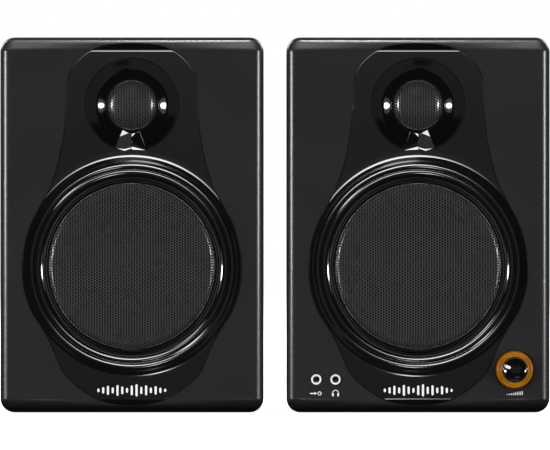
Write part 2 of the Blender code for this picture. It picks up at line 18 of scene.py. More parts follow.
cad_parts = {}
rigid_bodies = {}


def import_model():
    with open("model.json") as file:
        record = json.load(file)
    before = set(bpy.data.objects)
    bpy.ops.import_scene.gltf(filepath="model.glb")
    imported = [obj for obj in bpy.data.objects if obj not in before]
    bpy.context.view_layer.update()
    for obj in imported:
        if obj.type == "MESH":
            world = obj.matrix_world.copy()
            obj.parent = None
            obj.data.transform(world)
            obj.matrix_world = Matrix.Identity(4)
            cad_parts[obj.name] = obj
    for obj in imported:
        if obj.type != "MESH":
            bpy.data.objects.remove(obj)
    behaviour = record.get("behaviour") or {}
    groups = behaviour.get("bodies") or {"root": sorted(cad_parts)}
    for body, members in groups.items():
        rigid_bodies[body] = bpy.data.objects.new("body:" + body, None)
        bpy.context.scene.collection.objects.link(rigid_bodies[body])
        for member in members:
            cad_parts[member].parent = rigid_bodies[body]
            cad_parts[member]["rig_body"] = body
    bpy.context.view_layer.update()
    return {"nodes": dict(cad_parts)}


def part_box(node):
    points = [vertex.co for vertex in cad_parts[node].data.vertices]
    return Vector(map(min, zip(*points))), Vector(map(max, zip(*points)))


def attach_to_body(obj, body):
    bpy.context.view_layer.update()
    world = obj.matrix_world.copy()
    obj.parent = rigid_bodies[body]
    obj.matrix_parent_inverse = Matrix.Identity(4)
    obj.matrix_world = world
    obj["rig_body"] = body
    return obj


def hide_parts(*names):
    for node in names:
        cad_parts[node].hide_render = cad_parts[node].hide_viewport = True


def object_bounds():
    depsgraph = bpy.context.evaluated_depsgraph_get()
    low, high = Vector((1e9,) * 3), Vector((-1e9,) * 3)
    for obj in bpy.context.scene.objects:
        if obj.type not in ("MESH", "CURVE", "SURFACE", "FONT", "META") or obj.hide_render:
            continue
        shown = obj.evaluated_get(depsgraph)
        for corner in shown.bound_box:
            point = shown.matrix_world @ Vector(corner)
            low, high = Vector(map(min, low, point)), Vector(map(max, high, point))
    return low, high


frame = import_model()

MM = 0.001

# %% [markdown]
# ## Where things are
#
# Nothing is measured twice. A speaker's front is a moulding whose box gives the width,
# the height, the front plane and the middle line, and every round piece gives its own
# centre and radius. A small class keeps these together, and turns a place on one
# speaker's front (right of the middle, behind the front plane, above its foot) into a
# place in the room.


# %% Read the sizes off the model
class Front:
    """The places of one speaker."""

    def __init__(self, side):
        self.side = side
        self.body = side + "_speaker"
        low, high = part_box(side + "_front_baffle")
        self.x = (low[0] + high[0]) / 2
        self.y = low[1]
        self.z = low[2]
        self.width = high[0] - low[0]
        self.height = high[2] - low[2]
        self.depth = high[1] - low[1]

    def at(self, x, y, z):
        return Vector((self.x + x, self.y + y, self.z + z))

    def span(self, node):
        """Two opposite corners of a node's box, measured from this front."""
        return [Vector(corner) - self.at(0, 0, 0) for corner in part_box(node)]

    def middle(self, node):
        """A round node's centre on this front, and its outer radius."""
        low, high = (Vector(c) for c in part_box(node))
        centre = (low + high) / 2
        return centre.x - self.x, centre.z - self.z, (high.x - low.x) / 2


fronts = {side: Front(side) for side in ("left", "right")}
right = fronts["right"]
WIDTH, HEIGHT = right.width, right.height
_, WOOFER_Z, RING_R = right.middle("right_woofer_ring")
_, TWEETER_Z, GUIDE_R = right.middle("right_tweeter_waveguide")
KNOB_X, KNOB_Z, _ = right.middle("right_volume_knob")
print(f"front {WIDTH / MM:.1f} x {HEIGHT / MM:.1f} mm, ring {RING_R / MM:.1f} mm")

# %% [markdown]
# ## Camera
#
# Product pictures of loudspeakers are taken square-on from far away with a long lens,
# so that the sides don't show and the two fronts stay perfect rectangles. The camera
# stands level with the middle of the fronts, several metres off, and the lens is worked
# out so that the pair just fills the view's width.

# %% Stand the camera in front of the pair
CAMERA_DISTANCE = 4.0
SENSOR = 36 * MM
MARGIN = 1.0002                                 # view's width over the pair's width
LENS_HEIGHT = 108.273 * MM                      # above the foot of the fronts


def add_camera():
    low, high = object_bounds()
    data = bpy.data.cameras.new("long_lens")
    data.sensor_width = SENSOR / MM
    view_width = (high.x - low.x) * MARGIN
    data.lens = SENSOR / MM * CAMERA_DISTANCE / view_width
    data.clip_end = 50
    camera = bpy.data.objects.new("camera", data)
    camera.location = (0, right.y - CAMERA_DISTANCE, right.z + LENS_HEIGHT)
    camera.rotation_euler = (pi / 2, 0, 0)
    bpy.context.scene.collection.objects.link(camera)
    bpy.context.scene.camera = camera
    print(f"camera {CAMERA_DISTANCE} m away with a {data.lens:.0f} mm lens")


add_camera()
bpy.context.scene.view_settings.view_transform = "Standard"

# %% [markdown]
# ## Studio
#
# Black gloss plastic shows its shape only by what it reflects. In a studio it is lit in
# a dark room with a few softboxes, and stands on white. So the floor and the
# surroundings are white to the camera, but the gloss sees a dark room. A small strong
# softbox on each side draws a fine line along each rounded edge, with a larger faint one
# round it. Two stand behind for the backs, and wide faint ones above lift the top band.
# Each softbox is given by its direction, how many degrees across it looks from the
# speakers, and how bright its face is.

# %% A pale floor
def add_floor():
    bm = bmesh.new()
    bmesh.ops.create_circle(bm, cap_ends=True, segments=96, radius=9)
    mesh = bpy.data.meshes.new("floor")
    bm.to_mesh(mesh)
    bm.free()
    floor = bpy.data.objects.new("floor", mesh)
    bpy.context.scene.collection.objects.link(floor)
    paper = bpy.data.materials.new("floor_paper")
    paper.use_nodes = True
    shader = paper.node_tree.nodes["Principled BSDF"]
    shader.inputs["Base Color"].default_value = (0.92, 0.92, 0.92, 1)
    shader.inputs["Roughness"].default_value = 0.9
    shader.inputs["Emission Color"].default_value = (1, 1, 1, 1)
    shader.inputs["Emission Strength"].default_value = 0.97
    mesh.materials.append(paper)
    floor.visible_glossy = False
    floor.visible_diffuse = False


add_floor()
print("floor laid")


# %% Stand the softboxes round the pair
def softbox(name, place, aim, size, watts, shape="RECTANGLE", glossy=True):
    """An area light of a given (width, height), turned to face a point."""
    data = bpy.data.lights.new(name, "AREA")
    data.shape = shape
    data.size, data.size_y = size
    data.energy = watts
    lamp = bpy.data.objects.new(name, data)
    lamp.location = place
    lamp.rotation_euler = (Vector(aim) - Vector(place)).to_track_quat("-Z", "Y").to_euler()
    lamp.visible_glossy = glossy
    lamp.visible_camera = False
    bpy.context.scene.collection.objects.link(lamp)
    return lamp


def around(azimuth, elevation, distance):
    """A place in front of the pair: azimuth to the right, elevation up, in degrees."""
    a, e = radians(azimuth), radians(elevation)
    return Vector((sin(a) * cos(e), -cos(a) * cos(e), sin(e))) * distance + AIM


AIM = Vector((0, right.y, right.z + HEIGHT / 2))
FAR = 5.0                                       # all softboxes stand this far away
lamps = {}


def add_softbox(name, azimuth, elevation, wide, tall, glow, shape="ELLIPSE"):
    """A softbox wide by tall degrees across; glow is how bright its face is."""
    width, height = (2 * FAR * tan(radians(a / 2)) for a in (wide, tall))
    area = width * height * (pi / 4 if shape == "ELLIPSE" else 1)
    lamps[name] = softbox(name, around(azimuth, elevation, FAR), AIM, (width, height),
                          glow * pi * area, shape)


for side, azimuth, share in (("left", -56, 1.0), ("right", 56, 0.9)):
    add_softbox(side + "_box", azimuth, 2.6, 22, 8, 32 * share)
    add_softbox(side + "_glow", azimuth, 2.6, 34, 22, 0.5 * share)
    add_softbox(side + "_rear_box", 2.5 * azimuth, 28, 32, 30, 7)
add_softbox("top_glow", -4, 24, 80, 18, 0.4)
add_softbox("band_glow", 0, 52, 100, 24, 0.62)
add_softbox("front_card", 0, 0, 30, 30, 0.1, "RECTANGLE")
softbox("floor_box", (0, -0.2, 2.4), (0, 0.2, 0), (2.6, 1.6), 14, glossy=False)
print("softboxes:", ", ".join(lamps))


# %% Darken the room for the gloss alone
def add_room():
    world = bpy.data.worlds.new("dark_studio")
    bpy.context.scene.world = world
    world.use_nodes = True
    tree = world.node_tree
    background = tree.nodes["Background"]
    path = tree.nodes.new("ShaderNodeLightPath")
    choose = tree.nodes.new("ShaderNodeMix")
    choose.data_type = "RGBA"
    choose.inputs[6].default_value = (0.012, 0.012, 0.0125, 1)   # what the gloss sees
    choose.inputs[7].default_value = (1, 1, 1, 1)               # what the camera sees
    tree.links.new(path.outputs["Is Camera Ray"], choose.inputs[0])
    tree.links.new(choose.outputs[2], background.inputs["Color"])


add_room()
print("room:", bpy.context.scene.world.name)

# %% [markdown]
# ## Writing materials as sums
#
# Materials are node trees, but a tree is hard to read as a list of links. The class
# below wraps one output of a node. Adding, multiplying or subtracting two of them adds
# the Math node that does it, so the pattern of a material reads like arithmetic. Every
# pattern uses Object coordinates: they are metres on the piece, so a grain has its real
# size.


# %% A socket that can be added up
class Value:
    """One output of a node in a material, with arithmetic."""

    def __init__(self, tree, socket):
        self.tree = tree
        self.socket = socket

    def node(self, kind, inputs=(), out=0, **settings):
        """Any other node: its settings first, then the values or links of its inputs."""
        made = self.tree.nodes.new(kind)
        for key, value in settings.items():
            setattr(made, key, value)
        for key, value in dict(inputs).items():
            if isinstance(value, Value):
                self.tree.links.new(value.socket, made.inputs[key])
            else:
                made.inputs[key].default_value = value
        return Value(self.tree, made.outputs[out])

    def math(self, operation, *others):
        inputs = dict(enumerate((self, *others)))
        return self.node("ShaderNodeMath", inputs, operation=operation)

    def __add__(self, other):
        return self.math("ADD", other)

    def __mul__(self, other):
        return self.math("MULTIPLY", other)

    def __sub__(self, other):
        return self.math("SUBTRACT", other)

    def __rsub__(self, other):
        return (self * -1.0) + other

    def __truediv__(self, other):
        return self.math("DIVIDE", other)

    def __pow__(self, other):
        return self.math("POWER", other)

    def between(self, low, high):
        """0 below low, 1 above high and a soft step between them."""
        inputs = {"Value": self, "From Min": low, "From Max": high}
        return self.node("ShaderNodeMapRange", inputs, interpolation_type="SMOOTHSTEP")

    def xyz(self):
        split = self.tree.nodes.new("ShaderNodeSeparateXYZ")
        self.tree.links.new(self.socket, split.inputs[0])
        return [Value(self.tree, socket) for socket in split.outputs]

    def colours(self, first, second):
        """From the first colour at 0 to the second at 1; either may be a pattern."""
        first, second = (end if isinstance(end, Value) else (*end, 1)
                         for end in (first, second))
        inputs = {"Factor": self, 6: first, 7: second}
        return self.node("ShaderNodeMix", inputs, out=2, data_type="RGBA")


class Finish:
    """A material that is being written: its Principled shader and its coordinates."""

    def __init__(self, name, **fixed):
        self.material = bpy.data.materials.new(name)
        self.material.use_nodes = True
        self.tree = self.material.node_tree
        self.shader = self.tree.nodes["Principled BSDF"]
        for key, value in fixed.items():
            self.shader.inputs[key.replace("_", " ")].default_value = value
        place = self.tree.nodes.new("ShaderNodeTexCoord")
        self.place = Value(self.tree, place.outputs["Object"])

    def noise(self, size, detail=3.0, stretch=(1, 1, 1)):
        """Noise whose blotches are about the given size in metres."""
        scaled = self.place
        if stretch != (1, 1, 1):
            inputs = {"Vector": self.place, "Scale": stretch}
            scaled = self.place.node("ShaderNodeMapping", inputs)
        inputs = {"Vector": scaled, "Scale": 1 / size, "Detail": detail}
        return self.place.node("ShaderNodeTexNoise", inputs)

    def cells(self, size, feature="F1"):
        inputs = {"Vector": self.place, "Scale": 1 / size}
        return self.place.node("ShaderNodeTexVoronoi", inputs, feature=feature)

    def feed(self, name, value):
        self.tree.links.new(value.socket, self.shader.inputs[name])

    def bump(self, height, depth, strength=1.0):
        """Relief: height 1 stands depth metres proud."""
        inputs = {"Height": height, "Distance": depth, "Strength": strength}
        self.feed("Normal", self.place.node("ShaderNodeBump", inputs))


print("shader helpers ready")

# %% [markdown]
# ## Softboxes that fade towards their edges
#
# The bright lines on the black gloss start and end softly. A softbox with an even face
# would end them with a hard step, so these are cards whose glow is strongest in the
# middle and falls to nothing at the rim. They are seen only in reflections.


# %% Add the fading softboxes
def add_fading(name, azimuth, elevation, wide, tall, glow, away=FAR):
    """An oval card of light, wide by tall degrees across as seen from the pair."""
    width, height = (away * tan(radians(a / 2)) for a in (wide, tall))
    bm = bmesh.new()
    corners = [bm.verts.new((x * width, y * height, 0))
               for x, y in ((-1, -1), (1, -1), (1, 1), (-1, 1))]
    bm.faces.new(corners)
    mesh = bpy.data.meshes.new(name)
    bm.to_mesh(mesh)
    bm.free()
    look = Finish(name + "_face", Base_Color=(0, 0, 0, 1), Specular_IOR_Level=0.0,
                  Emission_Strength=glow)
    x, y, _ = look.place.xyz()
    dome = (1.0 - (x / width) ** 2 - (y / height) ** 2).math("MAXIMUM", 0.0)
    look.feed("Emission Color", (dome * dome).colours((0, 0, 0), (1, 1, 1)))
    card = bpy.data.objects.new(name, mesh)
    card.location = around(azimuth, elevation, away)
    card.rotation_euler = (AIM - card.location).to_track_quat("Z", "Y").to_euler()
    card.visible_camera = card.visible_diffuse = card.visible_shadow = False
    mesh.materials.append(look.material)
    bpy.context.scene.collection.objects.link(card)
    lamps[name] = card


add_fading("top_card", -1, 11, 30, 15, 15)
add_fading("left_high_card", -23, 22, 24, 11, 12)
add_fading("low_card", 1, -13, 4.5, 9, 14)
add_fading("nose_card", 0, 47, 110, 34, 13)
for side, flip in (("left", -1), ("right", 1)):
    add_fading(side + "_nose_glow", 8 * flip, 18, 70, 44, 0.3)
    add_fading(side + "_overhead_card", 7 * flip, 76, 9, 20, 80, 1.6)
print("all lights:", len(lamps))

# %% [markdown]
# ## Grey moulding
#
# The fronts are satin dark grey plastic from a spark-eroded mould. Up close the skin has
# a very fine even grain, and at arm's length the gloss wanders a little where the
# plastic cooled unevenly. A fine noise gives the grain and a slow one the wandering
# gloss. A thin clear layer keeps the sharp line of light on the edges. Along the foot,
# close to the desk, painted shade turns the colour nearly black and takes away the clear
# layer, standing in for the shade under that edge. Along the foot,
# close to the desk, the plastic is made darker and duller: that edge looks nearly black.


# %% Satin grey plastic
def grey_moulding():
    look = Finish("satin_grey_moulding", Coat_Roughness=0.12)
    slow = look.noise(35 * MM, 2)
    fine = look.noise(0.5 * MM, 3)
    colour = slow.between(0.3, 0.7).colours((0.0185, 0.0187, 0.0195),
                                            (0.0215, 0.0217, 0.0225))
    # Painted shade: below about 7.5 mm the front fades to near black and loses its clear
    # layer, standing in for the shade under the foot.
    painted_foot_shade_fade = look.place.xyz()[2].between(1.2 * MM, 7.5 * MM)
    look.feed("Base Color", painted_foot_shade_fade.colours((0.001, 0.001, 0.001), colour))
    look.feed("Coat Weight", painted_foot_shade_fade * 0.35)
    look.feed("Roughness", slow * 0.08 + fine * 0.06 + 0.34)
    look.bump(fine, 0.012 * MM, 0.5)
    return look.material


grey = grey_moulding()
print("finish:", grey.name)

# %% [markdown]
# ## Gloss black
#
# The inlay, the rings and the waveguide are polished piano black. Real ones are never
# perfect: there is a faint orange peel from the moulding, and hair-fine wiping marks
# that change only the roughness.

# %% Piano black plastic
def piano_black():
    look = Finish("piano_black", Coat_Weight=1.0, Coat_Roughness=0.08)
    peel = look.noise(4 * MM, 1)
    hairs = look.noise(1.2 * MM, 4, stretch=(1, 1, 0.06))
    smears = look.noise(18 * MM, 3)
    look.feed("Base Color", smears.colours((0.0045, 0.0045, 0.005), (0.007, 0.007, 0.0075)))
    look.feed("Roughness", hairs.between(0.62, 0.72) * 0.03 + smears * 0.04 + 0.04)
    look.bump(peel, 0.004 * MM, 0.35)
    return look.material


gloss = piano_black()
print("finish:", gloss.name)

# %% [markdown]
# ## Making solids
#
# Two kinds of shape do most of the work. A turned piece is an outline spun about the
# driver's axis, and its corners are real fillets, because a fillet is what catches a
# thin line of light. The other kind is a skin over a stack of outlines, such as a plate.
# The fillets may keep a narrow flat strip beside them, so that their smooth shading
# doesn't spread over the flat faces.


# %% Helpers for meshes
def piece(name, bm, material, smooth=35):
    """A finished piece from a bmesh: normals outwards, smooth but for sharp edges."""
    bmesh.ops.remove_doubles(bm, verts=bm.verts, dist=0.002 * MM)
    bmesh.ops.recalc_face_normals(bm, faces=bm.faces)
    mesh = bpy.data.meshes.new(name)
    bm.to_mesh(mesh)
    bm.free()
    mesh.shade_smooth()
    mesh.set_sharp_from_angle(angle=radians(smooth))
    mesh.materials.append(material)
    obj = bpy.data.objects.new(name, mesh)
    bpy.context.scene.collection.objects.link(obj)
    return obj


def settle(obj):
    """Apply an object's modifiers to its mesh."""
    graph = bpy.context.evaluated_depsgraph_get()
    graph.update()
    mesh = bpy.data.meshes.new_from_object(obj.evaluated_get(graph))
    old = obj.data
    obj.modifiers.clear()
    obj.data = mesh
    bpy.data.meshes.remove(old)
    mesh.name = obj.name
    return obj


def flatten_shading(obj):
    """Let the large flat faces decide the shading at their edges."""
    weigh = obj.modifiers.new("weigh", "WEIGHTED_NORMAL")
    weigh.keep_sharp = True
    weigh.weight = 100
    return settle(obj)


def carve(obj, cutter, operation="DIFFERENCE"):
    """Cut, join or intersect with another mesh, which is then removed."""
    step = obj.modifiers.new("carve", "BOOLEAN")
    step.operation = operation
    step.object = cutter
    step.solver = "EXACT"
    settle(obj)
    bpy.data.objects.remove(cutter, do_unlink=True)
    return obj


def skin(bm, loops):
    """Faces between each loop of points and the next."""
    for near, far in zip(loops, loops[1:]):
        for i in range(len(near)):
            k = (i + 1) % len(near)
            bm.faces.new((near[i], near[k], far[k], far[i]))


def fillet(corners, hold=0.12 * MM, steps=6):
    """Round the corners of an open outline of (a, b, radius) points."""
    line = []
    for i, (a, b, radius) in enumerate(corners):
        here = Vector((a, b))
        if not radius or i in (0, len(corners) - 1):
            line.append(here)
            continue
        back = (Vector(corners[i - 1][:2]) - here).normalized()
        ahead = (Vector(corners[i + 1][:2]) - here).normalized()
        half = back.angle(ahead) / 2
        reach = radius / tan(half)
        middle = here + (back + ahead).normalized() * (radius / sin(half))
        start = here + back * reach
        end = here + ahead * reach
        first = atan2(start.y - middle.y, start.x - middle.x)
        sweep = atan2(end.y - middle.y, end.x - middle.x) - first
        sweep = (sweep + pi) % (2 * pi) - pi
        if hold:
            line.append(start + back * hold)
        for k in range(steps + 1):
            a_k = first + sweep * k / steps
            line.append(middle + radius * Vector((cos(a_k), sin(a_k))))
        if hold:
            line.append(end + ahead * hold)
    return line


def turn(line, centre, steps=128, closed=False):
    """A bmesh of an outline of (radius, ahead of the front plane), spun about y."""
    bm = bmesh.new()
    verts = [bm.verts.new(centre + Vector((r, -ahead, 0))) for r, ahead in line]
    edges = [bm.edges.new(pair) for pair in zip(verts, verts[1:])]
    if closed:
        edges.append(bm.edges.new((verts[-1], verts[0])))
    bmesh.ops.spin(bm, geom=verts + edges, cent=centre, axis=(0, 1, 0), dvec=(0, 0, 0),
                   angle=2 * pi, steps=steps, use_merge=True)
    bmesh.ops.remove_doubles(bm, verts=bm.verts, dist=0.001 * MM)
    return bm


def cylinder(centre, radius, near, far, steps=128):
    """A plain cylinder along y, for cutting."""
    line = [(0, -near), (radius, -near), (radius, -far), (0, -far)]
    return piece("cutter", turn(line, centre, steps), grey)


print("mesh helpers ready")

# %% [markdown]
# ## The pear outline
#
# The inlay is widest beside the woofer and has a narrow shoulder beside the tweeter. A
# curve through some twenty points on one half, mirrored, gives the whole outline. It is
# shared by the inlay and by the recess in the grey front, which is a hair larger all
# round: that gap is the fine dark line round the inlay.

# %% One curve for the inlay and its recess
# Each point: right of the middle and above the foot, in mm
PEAR = [(0, 213.0), (14.5, 211.9), (23.8, 208.6), (31.5, 202.5), (36.3, 194.7),
        (37.2, 184.3), (38.2, 167.9), (41.1, 149.2), (46.1, 132.0), (52.6, 119.1),
        (58.3, 107.6), (61.9, 94.6), (62.9, 83.1), (61.9, 71.6), (57.6, 58.7),
        (50.4, 47.2), (44.7, 35.7), (39.7, 24.2), (33.2, 17.0), (24.5, 10.6),
        (14.5, 6.2), (0, 4.5)]


def pear_outline(grow=0.0, steps=8):
    """Points (x, z) round the pear, moved outwards by grow."""
    half = [(x * MM, z * MM) for x, z in PEAR]
    whole = half + [(-x, z) for x, z in half[-2:0:-1]]
    count = len(whole)
    loop = []
    for i in range(count):
        a, b, c, d = (Vector(whole[(i + k) % count]) for k in (-1, 0, 1, 2))
        for s in range(steps):
            t = s / steps
            bend = 2 * a - 5 * b + 4 * c - d + t * (3 * (b - c) + d - a)
            loop.append(b + 0.5 * t * (c - a + t * bend))
    count = len(loop)
    out = []
    for i, point in enumerate(loop):
        along = (loop[(i + 1) % count] - loop[i - 1]).normalized()
        out.append(point + Vector((-along.y, along.x)) * grow)
    return out


print("outline of", len(pear_outline()), "points")

# %% [markdown]
# ## The grey front
#
# The front is a shell with three different edges. The sides are quarter rounds. The top
# and the foot lean back in a band between two bends, and the foot's are of another
# size. It could be a box with a bevel, but a bevel gives all four edges the same shape. So the
# shell is built as a stack of rounded rectangles: each level lies a little further
# back, and has its own inset at the sides, the top and the foot.

# %% The shapes of its edges
# Each corner: in from the rim, behind the front plane, and its fillet's radius, in mm
SIDE_ROUND = 5.5 * MM
TOP_EDGE = [(14, 0, 0), (7.3, 0, 4), (1.2, 3.6, 3.2), (0, 9, 3), (0, 30, 0)]
FOOT_EDGE = [(14, 0, 0), (6.6, 0, 6), (1.4, 3.6, 1.6), (0, 7, 2), (0, 30, 0)]


def edge_line(corners):
    return fillet([(a * MM, b * MM, r * MM) for a, b, r in corners], hold=0, steps=10)


def depth_at(line, inset):
    """How far an edge outline lies behind the front plane at an inset from the rim."""
    if inset >= line[0].x:
        return 0.0
    for p, q in zip(line, line[1:]):
        if q.x <= inset <= p.x and p.x > q.x:
            return p.y + (q.y - p.y) * (p.x - inset) / (p.x - q.x)
    return line[-1].y


def inset_at(line, depth):
    """The inset from the rim at which an edge outline reaches a depth."""
    best = line[0].x
    for p, q in zip(line, line[1:]):
        if p.y <= depth <= q.y and q.y > p.y:
            best = p.x + (q.x - p.x) * (depth - p.y) / (q.y - p.y)
            break
    return best


top_edge, foot_edge = edge_line(TOP_EDGE), edge_line(FOOT_EDGE)


def front_depth(z):
    """How far the front lies back at a height, away from its sides."""
    return max(depth_at(top_edge, HEIGHT - z), depth_at(foot_edge, z))


print("edges:", len(top_edge), "and", len(foot_edge), "points")


# %% Build the shell
def rounded_rectangle(low, high, radius_x, radius_top, radius_foot, steps=10):
    """Points (x, z) round a rectangle, counter-clockwise from the lower right."""
    (x0, z0), (x1, z1) = low, high
    corners = [(x1, z0, -pi / 2, radius_foot), (x1, z1, 0, radius_top),
               (x0, z1, pi / 2, radius_top), (x0, z0, pi, radius_foot)]
    points = []
    for x, z, start, radius_z in corners:
        cx = x - radius_x if x == x1 else x + radius_x
        cz = z - radius_z if z == z1 else z + radius_z
        for i in range(steps + 1):
            a = start + i / steps * pi / 2
            points.append((cx + radius_x * cos(a), cz + radius_z * sin(a)))
    return points


FRONT_CORNER = 8.1 * MM


def front_shell(front):
    """The closed outer shape of a front."""
    depths = [SIDE_ROUND * (1 - cos(radians(a))) for a in range(0, 91, 5)]
    depths += [7.2 * MM, 9 * MM, front.depth]
    bm = bmesh.new()
    rings = []
    corner, least = FRONT_CORNER, 1.2 * MM
    for depth in depths:
        lean = max(SIDE_ROUND - depth, 0)
        side = SIDE_ROUND - sqrt(max(SIDE_ROUND ** 2 - lean ** 2, 0))
        top, foot = inset_at(top_edge, depth), inset_at(foot_edge, depth)
        outline = rounded_rectangle(
            (-WIDTH / 2 + side, foot), (WIDTH / 2 - side, HEIGHT - top),
            max(corner - side, least), max(corner - top, least),
            max(corner - foot, least))
        rings.append([bm.verts.new(front.at(x, depth, z)) for x, z in outline])
    skin(bm, rings)
    bm.faces.new(rings[0])
    bm.faces.new(rings[-1])
    return piece(front.side + "_front_shell", bm, grey, smooth=40)


def plate(name, outline, front, near, far, material=grey):
    """An outline on a front, from depth near to depth far."""
    bm = bmesh.new()
    first, last = ([bm.verts.new(front.at(p[0], y, p[1])) for p in outline]
                   for y in (near, far))
    bm.faces.new(first)
    bm.faces.new(last)
    skin(bm, (first, last))
    return piece(name, bm, material, smooth=30)



# %% Cut the recess, the hollow back and the holes
GROOVE = 0.35 * MM                              # gap round the inlay
SKIN, RECESS, FACE = 4 * MM, 6.5 * MM, 8 * MM   # wall, inlay's recess, hollow's start
AHEAD, THROUGH = -2 * MM, 12 * MM               # where a through hole starts and ends


def grey_front(front):
    shell = front_shell(front)
    carve(shell, plate("recess", pear_outline(GROOVE), front, AHEAD, RECESS))
    hollow = rounded_rectangle((-WIDTH / 2 + SKIN, SKIN),
                               (WIDTH / 2 - SKIN, HEIGHT - SKIN), SKIN, SKIN, SKIN)
    carve(shell, plate("hollow", hollow, front, FACE, front.depth + 2 * MM))
    for z, radius in ((WOOFER_Z, 55 * MM), (TWEETER_Z, 22 * MM)):
        carve(shell, cylinder(front.at(0, 0, z), radius, AHEAD, THROUGH))
    for x, z, radius, sink_radius, sink in front.holes:
        carve(shell, cylinder(front.at(x, 0, z), radius, AHEAD, THROUGH, 64))
        carve(shell, cylinder(front.at(x, 0, z), sink_radius, AHEAD, sink, 64))
    return flatten_shading(shell)


fronts["left"].holes = []
right.holes = [(KNOB_X, KNOB_Z, 10.9 * MM, 11.9 * MM, 0.8 * MM)]
for node in ("right_aux_jack", "right_headphone_jack"):
    x, z, _ = right.middle(node)
    right.holes.append((x, z, 3.4 * MM, 4.1 * MM, 0.5 * MM))
for front in fronts.values():
    front.shell = grey_front(front)
    print(front.shell.name, len(front.shell.data.polygons), "faces")

# %% [markdown]
# ## The gloss inlay
#
# The inlay is a thin black plate that follows the front over its upper bend and its
# foot. Its edge is hardly softened, by a few hundredths of a millimetre, so it stays
# crisp against the dark gap. It is made flat from nested pear outlines, cut across
# wherever the front bends, and then every point is moved back as far as the front lies
# back at its height.

# %% Make it flat, then bend it
PROUD = right.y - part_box("right_gloss_panel")[0].y
SOFT_EDGE = 0.03 * MM
INLAY_THICK = 1.6 * MM


def bend_back(bm, front):
    """Move points back with the front's own bends, after cutting across at each."""
    levels = [HEIGHT - p.x for p in top_edge] + [p.x for p in foot_edge]
    for z in sorted(set(round(level, 6) for level in levels)):
        geom = bm.verts[:] + bm.edges[:] + bm.faces[:]
        bmesh.ops.bisect_plane(bm, geom=geom, plane_co=(0, 0, front.z + z),
                               plane_no=(0, 0, 1), dist=0.003 * MM)
    for vert in bm.verts:
        vert.co.y += front_depth(vert.co.z - front.z)


def gloss_inlay(front):
    bm = bmesh.new()
    rings = []
    for a in (0, 22.5, 45, 67.5, 90):
        grow = SOFT_EDGE * (sin(radians(a)) - 1)
        depth = -PROUD + SOFT_EDGE * (1 - cos(radians(a)))
        rings.append([bm.verts.new(front.at(p[0], depth, p[1]))
                      for p in pear_outline(grow)])
    held = [bm.verts.new(front.at(p[0], -PROUD, p[1]))
            for p in pear_outline(-SOFT_EDGE - 0.15 * MM)]
    rings.insert(0, held)
    back = INLAY_THICK - PROUD
    rings.append([bm.verts.new(front.at(p[0], back, p[1])) for p in pear_outline(0)])
    skin(bm, rings)
    bm.faces.new(rings[0])
    bm.faces.new(rings[-1])
    inlay = piece(front.side + "_inlay", bm, gloss, smooth=40)
    for z, radius in ((WOOFER_Z, 56 * MM), (TWEETER_Z, GUIDE_R + 0.15 * MM)):
        carve(inlay, cylinder(front.at(0, 0, z), radius, -3 * MM, 4 * MM, 160))
    bm = bmesh.new()
    bm.from_mesh(inlay.data)
    bend_back(bm, front)
    bm.to_mesh(inlay.data)
    bm.free()
    inlay.data.set_sharp_from_angle(angle=radians(40))
    return flatten_shading(inlay)


for front in fronts.values():
    front.inlay = gloss_inlay(front)
    print(front.inlay.name, len(front.inlay.data.polygons), "faces")

# %% [markdown]
# ## The ring round the woofer
#
# On the real object the ring grows out of the inlay: a hollow fillet at its foot, an
# outer flank with a small step, a rounded crown, a shallow valley, a flat lip and a
# steep inner wall. Each fillet between two of these draws one thin
# arc of light. At the sides the ring is wider than the inlay, so its foot is cut off
# along the pear outline.

# %% Turn the ring and trim it to the outline
# Each corner: its radius, ahead of the front plane, and its fillet's radius, in mm
RING = [(49.0, -4.6, 0), (49.0, -2.3, 0.25), (49.75, -2.02, 0.1), (51.2, 1.24, 4.4),
        (54.95, 1.26, 3.0), (55.85, 1.0, 0.4), (57.7, 1.5, 5.0), (60.2, 1.08, 3.0),
        (61.2, 0.945, 3.0), (63.4, 0.55, 12.0), (66.8, 0.5, 0)]


def woofer_ring(front):
    line = [Vector((a, b)) for a, b in fillet([(a * MM, b * MM, r * MM)
                                               for a, b, r in RING], hold=0.05 * MM)]
    line += [Vector((66.5, -0.6)) * MM, Vector((58, -0.6)) * MM, Vector((57, -4.6)) * MM]
    ring = piece(front.side + "_ring", turn(line, front.at(0, 0, WOOFER_Z), 192,
                                            closed=True), gloss, smooth=50)
    trim = plate("trim", pear_outline(-0.12 * MM), front, -9 * MM, 9 * MM)
    carve(ring, trim, "INTERSECT")
    ring.data.set_sharp_from_angle(angle=radians(50))
    return ring


for front in fronts.values():
    front.ring = woofer_ring(front)
    print(front.ring.name, len(front.ring.data.polygons), "faces")

# %% [markdown]
# ## The waveguide and its nose
#
# Round the tweeter the inlay has a shallow horn. It leans gently at its mouth and ever
# more steeply towards the throat, which is why the softboxes show as bright spots
# beside the grille. Below the grille sits a small faceted nose, which keeps fingers off
# the dome. It's made of two blocks side by side: the facets of one meet on a ridge and
# those of the other in a crease. The nose is mirrored on the other speaker.

# %% Turn the horn
# Each corner: its radius and ahead of the front plane, in mm
GUIDE = [(14.6, -6.2), (14.6, -3.7), (14.7, -3.5), (15.3, -3.02), (16.2, -2.38),
         (17.2, -1.75), (18.3, -1.15), (19.4, -0.64), (19.9, -0.43), (20.05, -0.38),
         (21.5, -0.27), (23.0, -0.13), (24.5, 0.02), (26.0, 0.17), (26.9, 0.27),
         (27.05, 0.25), (27.05, -1.0), (22.0, -4.4), (20.0, -6.2)]


def waveguide(front):
    line = [Vector(p) * MM for p in GUIDE]
    bm = turn(line, front.at(0, 0, TWEETER_Z), 128, closed=True)
    return piece(front.side + "_horn", bm, gloss, smooth=45)


